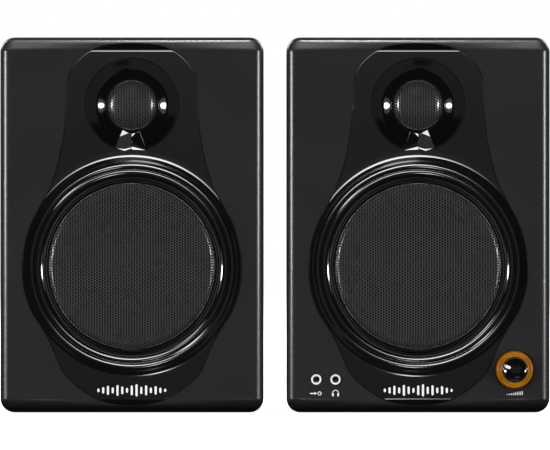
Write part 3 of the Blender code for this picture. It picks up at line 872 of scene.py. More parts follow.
# %% Cut the nose's facets
# Each corner: right of the middle, below the tweeter and ahead of the front plane, in mm
LEFT_CORNERS = [(-5.4, 14.2, -1.77), (-1.8, 16.2, -0.17), (-0.1, 16.8, 0.08),
                (-7.1, 18.3, -0.33), (-0.1, 24.4, 1.26), (-4.1, 25.4, 1.06),
                (-9.7, 24.8, 0.45), (-4.2, 26.6, 1.56), (-0.1, 25.2, 1.6)]
LEFT_FACETS = [(0, 1, 3), (1, 2, 4, 5, 6, 3), (4, 8, 7, 5), (5, 7, 6)]
RIGHT_CORNERS = [(-0.1, 16.5, -0.42), (2.4, 16.0, -0.97), (-0.1, 18.2, 0.31),
                 (4.5, 15.0, -0.61), (8.4, 25.5, 0.68), (-0.1, 21.1, 0.76),
                 (7.8, 25.9, 0.57), (-0.1, 23.9, 0.9), (-0.1, 25.8, 1.7),
                 (7.8, 26.2, 0.68)]
RIGHT_FACETS = [(0, 1, 2), (1, 3, 4, 5, 2), (5, 4, 6, 7), (7, 6, 9, 8)]


def nose_half(name, front, corners, facets):
    """A block whose front is cut into facets, mirrored between the speakers."""
    flip = 1 if front.side == "left" else -1
    bm = bmesh.new()
    verts = [bm.verts.new(front.at(flip * x * MM, -ahead * MM, TWEETER_Z - down * MM))
             for x, down, ahead in corners]
    for facet in facets:
        bm.faces.new([verts[i] for i in facet])
    rim = [e for e in bm.edges if len(e.link_faces) == 1]
    pulled = bmesh.ops.extrude_edge_only(bm, edges=rim)["geom"]
    back = [g for g in pulled if isinstance(g, bmesh.types.BMVert)]
    for v in back:
        v.co.y = front.at(0, 6 * MM, 0).y
    ends = [e for e in pulled if isinstance(e, bmesh.types.BMEdge)
            and all(v in back for v in e.verts)]
    bmesh.ops.contextual_create(bm, geom=ends)
    made = piece(name, bm, gloss, smooth=20)
    soften = made.modifiers.new("soften", "BEVEL")
    soften.width = 0.18 * MM
    soften.segments = 3
    soften.limit_method = "ANGLE"
    soften.angle_limit = radians(8)
    settle(made)
    made.data.shade_smooth()
    return flatten_shading(made)


HALVES = {"_nose_ridge_side": (LEFT_CORNERS, LEFT_FACETS),
          "_nose_crease_side": (RIGHT_CORNERS, RIGHT_FACETS)}


for front in fronts.values():
    front.guide = waveguide(front)
    front.noses = [nose_half(front.side + half, front, *cut)
                   for half, cut in HALVES.items()]
    print(front.guide.name, [half.name for half in front.noses])

# %% [markdown]
# ## The perforated grilles
#
# Both drivers sit behind punched steel, domed in a press and bent back at the edge.
# There are thousands of holes on a staggered grid. A Geometry Nodes tree repeats one
# six-cornered tile with a hole in it: the tiles lock together like a honeycomb, so the
# sheet has no gaps. The tree keeps the tiles inside the sheet's radius, pulls the
# outermost corners onto a true circle, and presses the dome.


# %% A tile, and the tree that repeats it
def perforated_tile(column, pitch, hole, thick):
    """One six-cornered tile with a six-cornered hole, front face up."""
    reach = (column ** 2 + pitch ** 2 / 4) / (2 * column)
    waist = (column ** 2 - pitch ** 2 / 4) / (2 * column)
    rim = [(reach, 0), (waist, pitch / 2), (-waist, pitch / 2),
           (-reach, 0), (-waist, -pitch / 2), (waist, -pitch / 2)]
    turns = [atan2(y, x) for x, y in rim]
    inner = [(hole * cos(a), hole * sin(a)) for a in turns]
    bm = bmesh.new()
    rows = [[bm.verts.new((x, y, z)) for x, y in loop]
            for loop, z in ((rim, 0), (inner, 0), (inner, -thick), (rim, -thick))]
    skin(bm, rows)
    bmesh.ops.recalc_face_normals(bm, faces=bm.faces)
    mesh = bpy.data.meshes.new("tile")
    bm.to_mesh(mesh)
    bm.free()
    if sum(p.normal.z for p in mesh.polygons if p.center.z > -thick / 4) < 0:
        mesh.flip_normals()
    return bpy.data.objects.new("tile", mesh)


class Nodes:
    """A Geometry Nodes tree being written, with its named inputs."""

    def __init__(self, name, inputs):
        self.tree = bpy.data.node_groups.new(name, "GeometryNodeTree")
        face = self.tree.interface
        face.new_socket("Geometry", in_out="OUTPUT", socket_type="NodeSocketGeometry")
        for label, kind in inputs.items():
            face.new_socket(label, in_out="INPUT", socket_type="NodeSocket" + kind)
        group_in = self.tree.nodes.new("NodeGroupInput")
        self.inputs = {s.name: s for s in group_in.outputs if s.name}

    def add(self, kind, inputs=(), out=0, **settings):
        made = self.tree.nodes.new(kind)
        for key, value in settings.items():
            setattr(made, key, value)
        for key, value in dict(inputs).items():
            if isinstance(value, bpy.types.NodeSocket):
                self.tree.links.new(value, made.inputs[key])
            else:
                made.inputs[key].default_value = value
        return made.outputs[out]

    def math(self, operation, a, b=0.0):
        return self.add("ShaderNodeMath", {0: a, 1: b}, operation=operation)

    def close(self, geometry):
        group_out = self.tree.nodes.new("NodeGroupOutput")
        self.tree.links.new(geometry, group_out.inputs[0])

    def run(self, obj, values):
        """Hang the tree on an object, give it its inputs and make it plain mesh."""
        step = obj.modifiers.new(self.tree.name, "NODES")
        step.node_group = self.tree
        for item in self.tree.interface.items_tree:
            if item.in_out == "INPUT" and item.name in values:
                step[item.identifier] = values[item.name]
        return settle(obj)


def pressed_sheet():
    g = Nodes("pressed_sheet", {
        "Tile": "Object", "Radius": "Float", "Column": "Float", "Pitch": "Float",
        "Apex": "Float", "Sag": "Float", "Bend Start": "Float", "Bend Radius": "Float",
        "Finish": "Material"})
    i = g.inputs
    across = g.math("CEIL", g.math("DIVIDE", i["Radius"], i["Column"]))
    up = g.math("CEIL", g.math("DIVIDE", i["Radius"], i["Pitch"]))
    columns = g.math("ADD", g.math("MULTIPLY", across, 2.0), 3.0)
    rows = g.math("ADD", g.math("MULTIPLY", up, 2.0), 3.0)
    grid = g.add("GeometryNodeMeshGrid", {
        "Size X": g.math("MULTIPLY", g.math("SUBTRACT", columns, 1.0), i["Column"]),
        "Size Y": g.math("MULTIPLY", g.math("SUBTRACT", rows, 1.0), i["Pitch"]),
        "Vertices X": columns, "Vertices Y": rows})
    place = g.add("GeometryNodeInputPosition")
    split = g.add("ShaderNodeSeparateXYZ", {0: place}).node
    number = g.math("ROUND", g.math("DIVIDE", split.outputs[0], i["Column"]))
    odd = g.math("ABSOLUTE", g.math("MODULO", number, 2.0))
    lift = g.math("MULTIPLY", odd, g.math("MULTIPLY", i["Pitch"], 0.5))
    offset = g.add("ShaderNodeCombineXYZ", {1: lift})
    staggered = g.add("GeometryNodeSetPosition", {"Geometry": grid, "Offset": offset})
    radius = g.add("ShaderNodeVectorMath", {0: place}, out=1, operation="LENGTH")
    limit = g.math("ADD", i["Radius"], g.math("MULTIPLY", i["Pitch"], 0.33))
    inside = g.add("FunctionNodeCompare", {0: radius, 1: limit}, operation="LESS_THAN")
    tile = g.add("GeometryNodeObjectInfo", {"Object": i["Tile"]}, out="Geometry")
    tiles = g.add("GeometryNodeInstanceOnPoints", {
        "Points": staggered, "Selection": inside, "Instance": tile})
    whole = g.add("GeometryNodeRealizeInstances", {"Geometry": tiles})
    joined = g.add("GeometryNodeMergeByDistance", {"Geometry": whole,
                                                   "Distance": 0.01 * MM})
    split = g.add("ShaderNodeSeparateXYZ", {0: place}).node
    flat = g.add("ShaderNodeCombineXYZ", {0: split.outputs[0], 1: split.outputs[1]})
    reach = g.add("ShaderNodeVectorMath", {0: flat}, out=1, operation="LENGTH")
    reach = g.math("MAXIMUM", reach, 0.01 * MM)
    pull = g.math("MINIMUM", g.math("DIVIDE", i["Radius"], reach), 1.0)
    pulled = g.add("ShaderNodeVectorMath", {0: flat, 3: pull}, operation="SCALE")
    reach = g.math("MINIMUM", reach, i["Radius"])
    share = g.math("DIVIDE", reach, i["Radius"])
    sag = g.math("MULTIPLY", g.math("MULTIPLY", share, share), i["Sag"])
    past = g.math("MAXIMUM", g.math("SUBTRACT", reach, i["Bend Start"]), 0.0)
    square = g.math("SUBTRACT", g.math("MULTIPLY", i["Bend Radius"], i["Bend Radius"]),
                    g.math("MULTIPLY", past, past))
    root = g.math("SQRT", g.math("MAXIMUM", square, 0.0))
    drop = g.math("SUBTRACT", i["Bend Radius"], root)
    height = g.math("SUBTRACT", g.math("SUBTRACT", i["Apex"], sag), drop)
    height = g.math("ADD", height, split.outputs[2])
    pressed = g.add("ShaderNodeCombineXYZ", {2: height})
    pressed = g.add("ShaderNodeVectorMath", {0: pulled, 1: pressed}, operation="ADD")
    dome = g.add("GeometryNodeSetPosition", {"Geometry": joined, "Position": pressed})
    clean = g.add("GeometryNodeMergeByDistance", {"Geometry": dome,
                                                  "Distance": 0.005 * MM})
    g.close(g.add("GeometryNodeSetMaterial", {"Geometry": clean,
                                              "Material": i["Finish"]}))
    return g


sheet = pressed_sheet()
print("tree with", len(sheet.tree.nodes), "nodes")


# %% [markdown]
# The steel has a metallic grey paint, which looks nearly black because the holes take
# half of its light. It lies a little unevenly, so the gloss wanders, and a fine grain
# breaks up the light.

# %% Painted steel and the four grilles
def painted_steel():
    look = Finish("painted_steel")
    slow = look.noise(12 * MM, 2)
    fine = look.noise(0.35 * MM, 3)
    look.feed("Base Color", slow.colours((0.18, 0.18, 0.182), (0.225, 0.225, 0.227)))
    look.feed("Roughness", slow * 0.08 + fine * 0.08 + 0.2)
    look.feed("Metallic", slow * 0.1 + 0.6)
    look.bump(fine, 0.01 * MM, 0.5)
    return look.material


steel = painted_steel()
COLUMN, PITCH, HOLE, SHEET = 1.54 * MM, 1.51 * MM, 0.64 * MM, 0.6 * MM


def grille(name, front, z, radius, apex, sag, bend_start, bend_radius, rim):
    """A domed sheet with a rim behind it; apex is ahead of the front plane."""
    tile = perforated_tile(COLUMN, PITCH, HOLE, SHEET)
    obj = bpy.data.objects.new(name, bpy.data.meshes.new(name))
    bpy.context.scene.collection.objects.link(obj)
    sheet.run(obj, {"Tile": tile, "Radius": radius, "Column": COLUMN, "Pitch": PITCH,
                    "Apex": apex, "Sag": sag, "Bend Start": bend_start,
                    "Bend Radius": bend_radius, "Finish": steel})
    bpy.data.objects.remove(tile, do_unlink=True)
    stand = Matrix.Translation(front.at(0, 0, z)) @ Matrix.Rotation(pi / 2, 4, "X")
    obj.data.transform(stand)
    past = radius - bend_start
    edge = apex - sag - (bend_radius - sqrt(max(bend_radius ** 2 - past ** 2, 0)))
    bm = turn([Vector((radius - 0.3 * MM, edge - rim)),
               Vector((radius - 0.3 * MM, edge - 0.05 * MM)),
               Vector((radius, edge - 0.3 * MM)),
               Vector((radius, edge - rim))],
              front.at(0, 0, z), 128, closed=True)
    bm.from_mesh(obj.data)
    bm.to_mesh(obj.data)
    bm.free()
    obj.data.shade_smooth()
    obj.data.set_sharp_from_angle(angle=radians(35))
    print(name, len(obj.data.polygons), "faces")
    return obj


for front in fronts.values():
    front.grille = grille(
        front.side + "_mesh", front, WOOFER_Z, radius=47.8 * MM, apex=5 * MM,
        sag=1.6 * MM, bend_start=45.2 * MM, bend_radius=2.6 * MM, rim=2.5 * MM)
    front.small_grille = grille(
        front.side + "_tweeter_mesh", front, TWEETER_Z, radius=14.2 * MM, apex=0.1 * MM,
        sag=2.6 * MM, bend_start=10.5 * MM, bend_radius=5 * MM, rim=1.2 * MM)

# %% [markdown]
# ## Other finishes
#
# The rest of the object needs seventeen more surfaces. Eleven differ only in colour,
# gloss and the size of their grain, so one recipe makes them: a slow noise shifts the
# colour and the gloss a little, and a fine one gives the relief. Two of them, the white
# print and the socket collars, also carry a painted glow. Six with a pattern of their own
# follow: the vinyl of the boxes, the paper of the cones, the wound copper wire, the green
# boards with their tracks, the aluminium and the amber ring.


# %% The plain recipe
def plain(name, low, high, rough, metal=0.0, grain=0.4, depth=0.01, patch=14, **fixed):
    """A finish between two colours; grain and patch sizes and relief depth are in mm."""
    look = Finish(name, Metallic=metal, **fixed)
    slow = look.noise(patch * MM, 3)
    fine = look.noise(grain * MM, 3)
    look.feed("Base Color", slow.between(0.3, 0.7).colours(low, high))
    look.feed("Roughness", slow * 0.1 + fine * 0.08 + (rough - 0.09))
    look.bump(fine, depth * MM, 0.6)
    return look.material


black_plastic = plain("black_plastic", (0.011, 0.011, 0.012), (0.015, 0.015, 0.016), 0.42,
                      grain=0.35, depth=0.015)
rubber = plain("black_rubber", (0.011, 0.011, 0.011), (0.018, 0.018, 0.018), 0.78,
               grain=0.6, depth=0.03)
red_plastic = plain("red_plastic", (0.42, 0.015, 0.012), (0.52, 0.022, 0.018), 0.34)
ferrite = plain("ferrite", (0.045, 0.046, 0.05), (0.065, 0.066, 0.07), 0.66, grain=0.3,
                depth=0.03)
steel_plate = plain("textured_steel_plate", (0.022, 0.022, 0.023), (0.03, 0.03, 0.031),
                    0.5, metal=0.3, grain=0.5, depth=0.05)
nickel = plain("nickel", (0.62, 0.6, 0.57), (0.72, 0.7, 0.67), 0.22, metal=1.0, grain=0.2,
               depth=0.002)
gold = plain("gilt_contact", (0.72, 0.5, 0.2), (0.8, 0.57, 0.25), 0.25, metal=1.0)
silk = plain("coated_silk", (0.004, 0.004, 0.005), (0.008, 0.008, 0.009), 0.5, grain=0.25,
             depth=0.03)
# Painted glow: the white print gives off a little light of its own, which makes it brighter.
white_print = plain("white_print", (0.9, 0.9, 0.9), (0.96, 0.96, 0.96), 0.45, grain=0.15,
                    depth=0.002, Emission_Color=(1, 1, 1, 1), Emission_Strength=0.35)
# Painted glow: the collar gives off a little light of its own, which makes it brighter.
collar_painted_glow = plain("satin_nickel_collar", (0.86, 0.86, 0.85), (0.93, 0.93, 0.92), 0.3,
                      metal=0.15, grain=0.15, depth=0.002,
                      Emission_Color=(1, 1, 1, 1), Emission_Strength=0.25)
cream = plain("white_insert", (0.75, 0.74, 0.7), (0.82, 0.81, 0.77), 0.4)
print("plain finishes ready")


# %% Patterned finishes
def vinyl():
    """Leather-grained vinyl: soft cells of two sizes."""
    look = Finish("black_vinyl_wrap", Specular_IOR_Level=0.4)
    cells = look.cells(1.3 * MM, "SMOOTH_F1")
    small = look.cells(0.55 * MM)
    slow = look.noise(40 * MM, 2)
    height = cells * 0.7 + small * 0.3
    look.feed("Base Color", height.between(0.1, 0.7).colours((0.021, 0.021, 0.022),
                                                             (0.013, 0.013, 0.014)))
    look.feed("Roughness", slow * 0.1 + height * 0.12 + 0.44)
    look.bump(1.0 - height, 0.09 * MM, 0.7)
    return look.material


def cone_paper():
    """Black pressed paper with its fibres."""
    look = Finish("cone_paper")
    fibres = look.noise(0.8 * MM, 5, stretch=(1, 0.4, 1))
    slow = look.noise(9 * MM, 3)
    look.feed("Base Color", (fibres * 0.6 + slow * 0.4).colours((0.0025, 0.0025, 0.0025),
                                                                (0.006, 0.006, 0.006)))
    look.feed("Roughness", fibres * 0.15 + 0.62)
    look.bump(fibres, 0.05 * MM, 0.8)
    return look.material


def wound_copper():
    """Lacquered wire, laid in turns along y."""
    look = Finish("wound_copper", Metallic=1.0)
    along = look.place.xyz()[1]
    turns = (along * (2 * pi / (0.35 * MM))).math("SINE")
    slow = look.noise(5 * MM, 2)
    look.feed("Base Color", slow.colours((0.52, 0.2, 0.09), (0.66, 0.29, 0.14)))
    look.feed("Roughness", slow * 0.1 + 0.26)
    look.bump(turns, 0.06 * MM, 1.0)
    return look.material


def circuit_board():
    """Solder mask over copper tracks, with tinned pads."""
    look = Finish("circuit_board", Coat_Weight=0.5, Coat_Roughness=0.15)
    x, _, z = look.place.xyz()
    lanes = look.cells(4.2 * MM).between(0.32, 0.36)
    stripes = ((x * 2100 + z * 700).math("SINE")).between(0.55, 0.65)
    tracks = lanes * stripes
    pads = 1.0 - look.cells(3.1 * MM).between(0.14, 0.17)
    mask = tracks.colours((0.008, 0.085, 0.03), (0.015, 0.15, 0.055))
    look.feed("Base Color", pads.colours(mask, (0.6, 0.6, 0.58)))
    look.feed("Metallic", pads * 0.9)
    look.feed("Roughness", pads * -0.1 + 0.42)
    look.bump(tracks + pads, 0.03 * MM, 0.6)
    return look.material


def cast_aluminium():
    """Bare aluminium with fine upright brushing."""
    look = Finish("aluminium", Metallic=1.0)
    brushed = look.noise(0.5 * MM, 4, stretch=(1, 1, 0.03))
    slow = look.noise(12 * MM, 2)
    look.feed("Base Color", slow.colours((0.46, 0.46, 0.48), (0.55, 0.55, 0.57)))
    look.feed("Roughness", brushed * 0.2 + 0.26)
    look.bump(brushed, 0.01 * MM, 0.5)
    return look.material


def amber_plastic():
    """Clear amber, glowing a little from behind, with painted shade where its surface turns
    away from the view.
    """
    look = Finish("amber_light_ring", Coat_Weight=0.6, Coat_Roughness=0.08,
                  Subsurface_Weight=0.2, Emission_Strength=0.2)
    look.shader.inputs["Subsurface Radius"].default_value = (2 * MM, 0.9 * MM, 0.2 * MM)
    look.shader.inputs["Subsurface Scale"].default_value = 1.0
    slow = look.noise(6 * MM, 2)
    fine = look.noise(0.5 * MM, 3)
    # Painted shade: the amber colour darkens where the surface turns away from the view.
    painted_slope_shade = look.place.node("ShaderNodeLayerWeight", {"Blend": 0.5}, out=1)
    lit = slow.colours((0.56, 0.22, 0.008), (0.72, 0.32, 0.025))
    look.feed("Base Color", painted_slope_shade.between(0.0, 0.3).colours(lit, (0.2, 0.05, 0.001)))
    look.feed("Emission Color", slow.colours((0.62, 0.22, 0.005), (0.8, 0.33, 0.02)))
    look.feed("Roughness", fine * 0.1 + 0.2)
    look.bump(fine, 0.006 * MM, 0.5)
    return look.material


black_vinyl, paper_finish, copper = vinyl(), cone_paper(), wound_copper()
board_finish, aluminium, amber = circuit_board(), cast_aluminium(), amber_plastic()
print("patterned finishes ready")

# %% [markdown]
# ## The volume knob and its light ring
#
# The knob is a small cap with a dished, polished face and a white line from near its
# middle to its rim, so that its setting shows from across a room. Round it a ring of
# amber plastic glows when the speakers are on. The ring has two ridges with a groove
# between, which spread the light. Both are turned pieces. The knob turns with its own
# body; the ring stays with the speaker.

# %% Turn the cap and the ring
POINTER_ANGLE = radians(68)                     # to the left of straight up
DISH = [(0, 7.2), (2, 7.25), (4, 7.5), (5.4, 7.9), (6.1, 8.2)]


def dish_level(r):
    """How far the knob's face stands ahead of the front plane at a radius."""
    for (r0, h0), (r1, h1) in zip(DISH, DISH[1:]):
        if r <= r1 * MM:
            return (h0 + (h1 - h0) * (r / MM - r0) / (r1 - r0)) * MM
    return DISH[-1][1] * MM


knob_at = right.at(KNOB_X, 0, KNOB_Z)
rim = fillet([(5.4 * MM, 7.9 * MM, 0), (6.35 * MM, 8.45 * MM, 0.35 * MM),
              (7.0 * MM, 8.2 * MM, 0.45 * MM), (7.1 * MM, 5 * MM, 0)], hold=0)
cap_line = [Vector(p) * MM for p in DISH[:-1]] + rim[1:]
cap_line += [Vector(p) * MM for p in ((7.1, 3.2), (6.9, 3.0), (6.9, 2.6), (7.1, 2.4),
                                      (7.1, -1.2), (2.8, -1.2), (2.8, -12), (0, -12))]
knob = piece("volume_knob_cap", turn(cap_line, knob_at, 96), gloss, smooth=45)

glow_line = [Vector(p) * MM for p in (
    (7.5, -8), (7.5, 1.9), (7.6, 2.35), (7.85, 2.62), (8.15, 2.62), (8.4, 2.35),
    (8.6, 2.1), (8.85, 2.1), (9.05, 2.4), (9.3, 2.75), (9.6, 2.85), (9.9, 2.72),
    (10.2, 2.3), (10.4, 1.7), (10.55, 0.8), (10.6, 0), (10.6, -7.3), (12.4, -7.3),
    (12.4, -8.4))]
light_ring = piece("amber_ring", turn(glow_line, knob_at, 128, closed=True), amber,
                   smooth=50)


# %% Draw the pointer on the dish
def pointer():
    bm = bmesh.new()
    out = Vector((-sin(POINTER_ANGLE), 0, cos(POINTER_ANGLE)))
    side = Vector((out.z, 0, -out.x))
    half = 0.85 * MM
    rows = []
    for i in range(9):
        r = (2.9 + 3.9 * i / 8) * MM
        wide = half if 0 < i < 8 else half * 0.72
        top = dish_level(r) + 0.16 * MM
        points = [(-wide, top - 0.5 * MM), (-wide, top - 0.04 * MM),
                  (-wide + 0.08 * MM, top), (wide - 0.08 * MM, top),
                  (wide, top - 0.04 * MM), (wide, top - 0.5 * MM)]
        rows.append([bm.verts.new(knob_at + out * r + side * s - Vector((0, h, 0)))
                     for s, h in points])
    skin(bm, rows)
    bm.faces.new(rows[0])
    bm.faces.new(rows[-1])
    return piece("knob_pointer", bm, white_print, smooth=40)


knob_pointer = pointer()
print(knob.name, light_ring.name, knob_pointer.name)

# %% [markdown]
# ## The two front sockets
#
# Each 3.5 mm socket shows a collar, made brighter by a painted glow, and a black rubber
# ring in a shallow round recess; the ring is painted shade, darkening the recess round
# the collar. Inside the collar are a black bore and two sprung contacts. The collar and
# the ring are turned, with a small fillet on each front rim.


# %% Turn the collars, washers and bores
def socket(node):
    x, z, _ = right.middle(node)
    centre = right.at(x, 0, z)
    outline = fillet([(1.95 * MM, -7 * MM, 0), (1.95 * MM, 0.5 * MM, 0.15 * MM),
                      (2.95 * MM, 0.6 * MM, 0.3 * MM), (3.0 * MM, -7 * MM, 0)], hold=0)
    collar = piece(node + "_collar", turn(outline, centre, 64, closed=True),
                   collar_painted_glow, smooth=40)
    sleeve = [Vector(p) * MM for p in ((0, -15), (3.0, -15), (3.0, -7.2), (1.92, -7.2),
                                       (1.92, -1.2), (1.6, -1.4), (1.6, -11), (0, -11))]
    bore = piece(node + "_bore", turn(sleeve, centre, 48), black_plastic, smooth=40)
    # Painted shade: this black rubber ring darkens the recess round the collar, where only
    # shade would be.
    painted_shade_ring_line = fillet([(3.06 * MM, -1.6 * MM, 0), (3.06 * MM, -0.25 * MM, 0.1 * MM),
                     (4.02 * MM, -0.12 * MM, 0.25 * MM), (4.06 * MM, -1.6 * MM, 0)],
                    hold=0)
    surround = piece(node + "_surround", turn(painted_shade_ring_line, centre, 64, closed=True), rubber,
                     smooth=40)
    bm = bmesh.new()
    for up in (1, -1):
        tab = bmesh.ops.create_cube(bm, size=1)["verts"]
        bmesh.ops.scale(bm, vec=(0.9 * MM, 3 * MM, 0.25 * MM), verts=tab)
        bmesh.ops.translate(bm, vec=centre + Vector((0, 8 * MM, up * 1.35 * MM)),
                            verts=tab)
    contact = piece(node + "_contact", bm, gold, smooth=30)
    return [collar, bore, contact, surround]


front_sockets = {node: socket(node) for node in ("right_aux_jack",
                                                 "right_headphone_jack")}
print("sockets:", len(front_sockets))

# %% [markdown]
# ## Printed marks
#
# The foot of each inlay carries a printed mark, and the controls have small icons. The
# ones here are plain shapes: a row of level bars, an arrow into a circle for the input,
# headphones, and a rising scale for the volume. Each is a very thin plate that stands a
# few hundredths of a millimetre proud, as thick screen-print ink does.


# %% Draw the marks
def stadium(x, z, half_wide, half_tall, steps=8):
    """Outline of an upright bar with round ends, in mm."""
    points = []
    for i in range(steps + 1):
        a = i / steps * pi
        points.append((x + half_wide * cos(a), z + half_tall - half_wide
                       + half_wide * sin(a)))
    for i in range(steps + 1):
        a = pi + i / steps * pi
        points.append((x + half_wide * cos(a), z - half_tall + half_wide
                       + half_wide * sin(a)))
    return points


def arc_band(x, z, inner, outer, start, end, steps=20):
    """Outline of part of a ring, angles in degrees."""
    turns = [radians(start + (end - start) * i / steps) for i in range(steps + 1)]
    return ([(x + outer * cos(a), z + outer * sin(a)) for a in turns]
            + [(x + inner * cos(a), z + inner * sin(a)) for a in reversed(turns)])


def ink(name, front, outlines, proud):
    """Thin plates of one ink, proud of the surface they are printed on."""
    bm = bmesh.new()
    for outline in outlines:
        points = [(px * MM, pz * MM) for px, pz in outline]
        near, far = ([bm.verts.new(front.at(px, y, pz)) for px, pz in points]
                     for y in (-proud - 0.04 * MM, -proud + 0.08 * MM))
        bm.faces.new(near)
        bm.faces.new(far)
        skin(bm, (near, far))
    return piece(name, bm, white_print, smooth=30)


LEVELS = [2.2, 3.6, 5.2, 3.4, 6.2, 4.4, 2.8, 5.6, 7.0, 4.2, 5.8, 3.2, 4.8, 3.0, 1.8]
MARK_Z, MARK_PITCH = 12.9, 2.75
for front in fronts.values():
    bars = [stadium((i - (len(LEVELS) - 1) / 2) * MARK_PITCH, MARK_Z, 0.62, tall / 2)
            for i, tall in enumerate(LEVELS)]
    front.mark = ink(front.side + "_level_mark", front, bars, PROUD)

ax, px, kx = (right.middle(node)[0] / MM for node in (
    "right_aux_jack", "right_headphone_jack", "right_volume_knob"))
ICON_Z = 11.1
arrow = [(ax - 3.6, ICON_Z - 0.28), (ax - 0.9, ICON_Z - 0.28), (ax - 0.9, ICON_Z - 0.85),
         (ax + 0.4, ICON_Z), (ax - 0.9, ICON_Z + 0.85), (ax - 0.9, ICON_Z + 0.28),
         (ax - 3.6, ICON_Z + 0.28)]
icons = [arrow, arc_band(ax + 1.9, ICON_Z, 0.75, 1.15, 60, 240),
         arc_band(ax + 1.9, ICON_Z, 0.75, 1.15, -120, 60),
         arc_band(px, ICON_Z + 0.1, 1.55, 1.95, 0, 180),
         stadium(px - 1.5, ICON_Z - 0.75, 0.48, 1.0),
         stadium(px + 1.5, ICON_Z - 0.75, 0.48, 1.0)]
icons += [stadium(kx - 4.3 + 1.23 * i, ICON_Z - 0.9 + (0.5 + 0.25 * i) / 2, 0.25,
                  (0.6 + 0.25 * i) / 2) for i in range(8)]
front_icons = ink("control_icons", right, icons, 0)
print("marks:", len(LEVELS), "bars and", len(icons), "icon shapes")

# %% [markdown]
# ## The boxes
#
# Behind each moulded front is a box of medium-density fibreboard, folded up from one
# grooved sheet and wrapped in black vinyl. Its long edges are rounded nearly as much as
# the corners of the front, so that no corner shows past it, and the rear edge is sharper.
# A hole in its back takes the port and another the sockets.


# %% Build the boxes
BOX_CORNER, BOX_WALL, PORT_HOLE = 7 * MM, 9 * MM, 20.3 * MM


def wooden_box(front, opening):
    """A hollow box; opening is the half width, foot and top of the hole for sockets."""
    low, high = front.span(front.side + "_cabinet")
    bm = bmesh.new()
    rings = []
    for y, shrink in ((low.y, 0.4), (low.y + 0.4 * MM, 0), (high.y - 1.2 * MM, 0),
                      (high.y - 0.8 * MM, 0.06), (high.y - 0.35 * MM, 0.35),
                      (high.y - 0.06 * MM, 0.8), (high.y, 1.2)):
        inset = shrink * MM
        outline = rounded_rectangle((low.x + inset, low.z + inset),
                                    (high.x - inset, high.z - inset), BOX_CORNER,
                                    BOX_CORNER, BOX_CORNER)
        rings.append([bm.verts.new(front.at(px, y, pz)) for px, pz in outline])
    skin(bm, rings)
    bm.faces.new(rings[0])
    bm.faces.new(rings[-1])
    box = piece(front.side + "_wooden_box", bm, black_vinyl, smooth=40)
    inside = rounded_rectangle((low.x + BOX_WALL, low.z + BOX_WALL),
                               (high.x - BOX_WALL, high.z - BOX_WALL), MM, MM, MM, 2)
    carve(box, plate("hollow", inside, front, low.y - MM, high.y - BOX_WALL))
    near, far = high.y - 2 * BOX_WALL, high.y + BOX_WALL
    port_x, port_z, _ = front.middle(front.side + "_bass_port")
    carve(box, cylinder(front.at(port_x, 0, port_z), PORT_HOLE, near, far, 96))
    x, z0, z1 = opening
    carve(box, plate("opening", [(-x, z0), (x, z0), (x, z1), (-x, z1)], front, near, far))
    return flatten_shading(box)


fronts["left"].box = wooden_box(fronts["left"], (27.5 * MM, 58.5 * MM, 101.5 * MM))
right.box = wooden_box(right, (56 * MM, 17 * MM, 132 * MM))
print("boxes:", [front.box.name for front in fronts.values()])

# %% [markdown]
# ## The bass ports
#
# A port is a moulded tube whose mouth flares out to a flat lip on the back of the box,
# so that the moving air doesn't chuff. The flare is a quarter of an ellipse. The tube is
# a tight push fit, so it needs no screws.


# %% Turn the flares
def bass_port(front):
    x, z, lip = front.middle(front.side + "_bass_port")
    low, high = front.span(front.side + "_bass_port")
    back = high.y
    line = [(17.4 * MM, -low.y), (17.4 * MM, -(back - 8 * MM)), (19.8 * MM, -(back - 2 * MM)),
            (lip - 0.3 * MM, -(back - 2 * MM)), (lip, -(back - 1.7 * MM)),
            (lip, -(back - 0.5 * MM)), (lip - 0.15 * MM, -(back - 0.15 * MM)),
            (lip - 0.5 * MM, -back)]
    for i in range(13):
        a = i / 12 * pi / 2
        line.append((15.5 * MM + 6 * MM * (1 - sin(a)), -(back - 9 * MM * (1 - cos(a)))))
    line.append((15.5 * MM, -low.y))
    bm = turn([Vector(p) for p in line], front.at(x, 0, z), 96, closed=True)
    return piece(front.side + "_port_flare", bm, black_plastic, smooth=40)


for front in fronts.values():
    front.port = bass_port(front)
    print(front.port.name)

# %% [markdown]
# ## Pieces with softened edges
#
# The sockets, levers, plates and feet were modelled with sharp edges. Real mouldings and
# pressings have a small radius on every edge, and it's that radius that catches light.
# Each of these is copied, given a bevel of its own size, and shaded so that its flat
# faces stay flat.

# %% Copy, merge and soften
# Each kind of node: its finish, the width of its softened edges in mm, and its slot
FINISH_OF = {
    "terminal_cup": (black_plastic, 0.35, "black_plastic"),
    "amp_plate": (steel_plate, 0.25, "black_steel"),
    "mains_inlet": (black_plastic, 0.3, "black_plastic"),
    "switch_body": (black_plastic, 0.3, "black_plastic"),
    "power_rocker": (red_plastic, 0.25, "black_plastic"),
    "rca_sockets": (black_plastic, 0.2, "black_plastic"),
    "usb_socket": (nickel, 0.15, "nickel"),
    "output_terminals": (black_plastic, 0.3, "black_plastic"),
    "red_lever": (red_plastic, 0.35, "red_plastic"),
    "black_lever": (black_plastic, 0.35, "black_plastic"),
    "front_foot": (rubber, 0.3, "black_rubber"),
    "rear_foot": (rubber, 0.3, "black_rubber"),
}


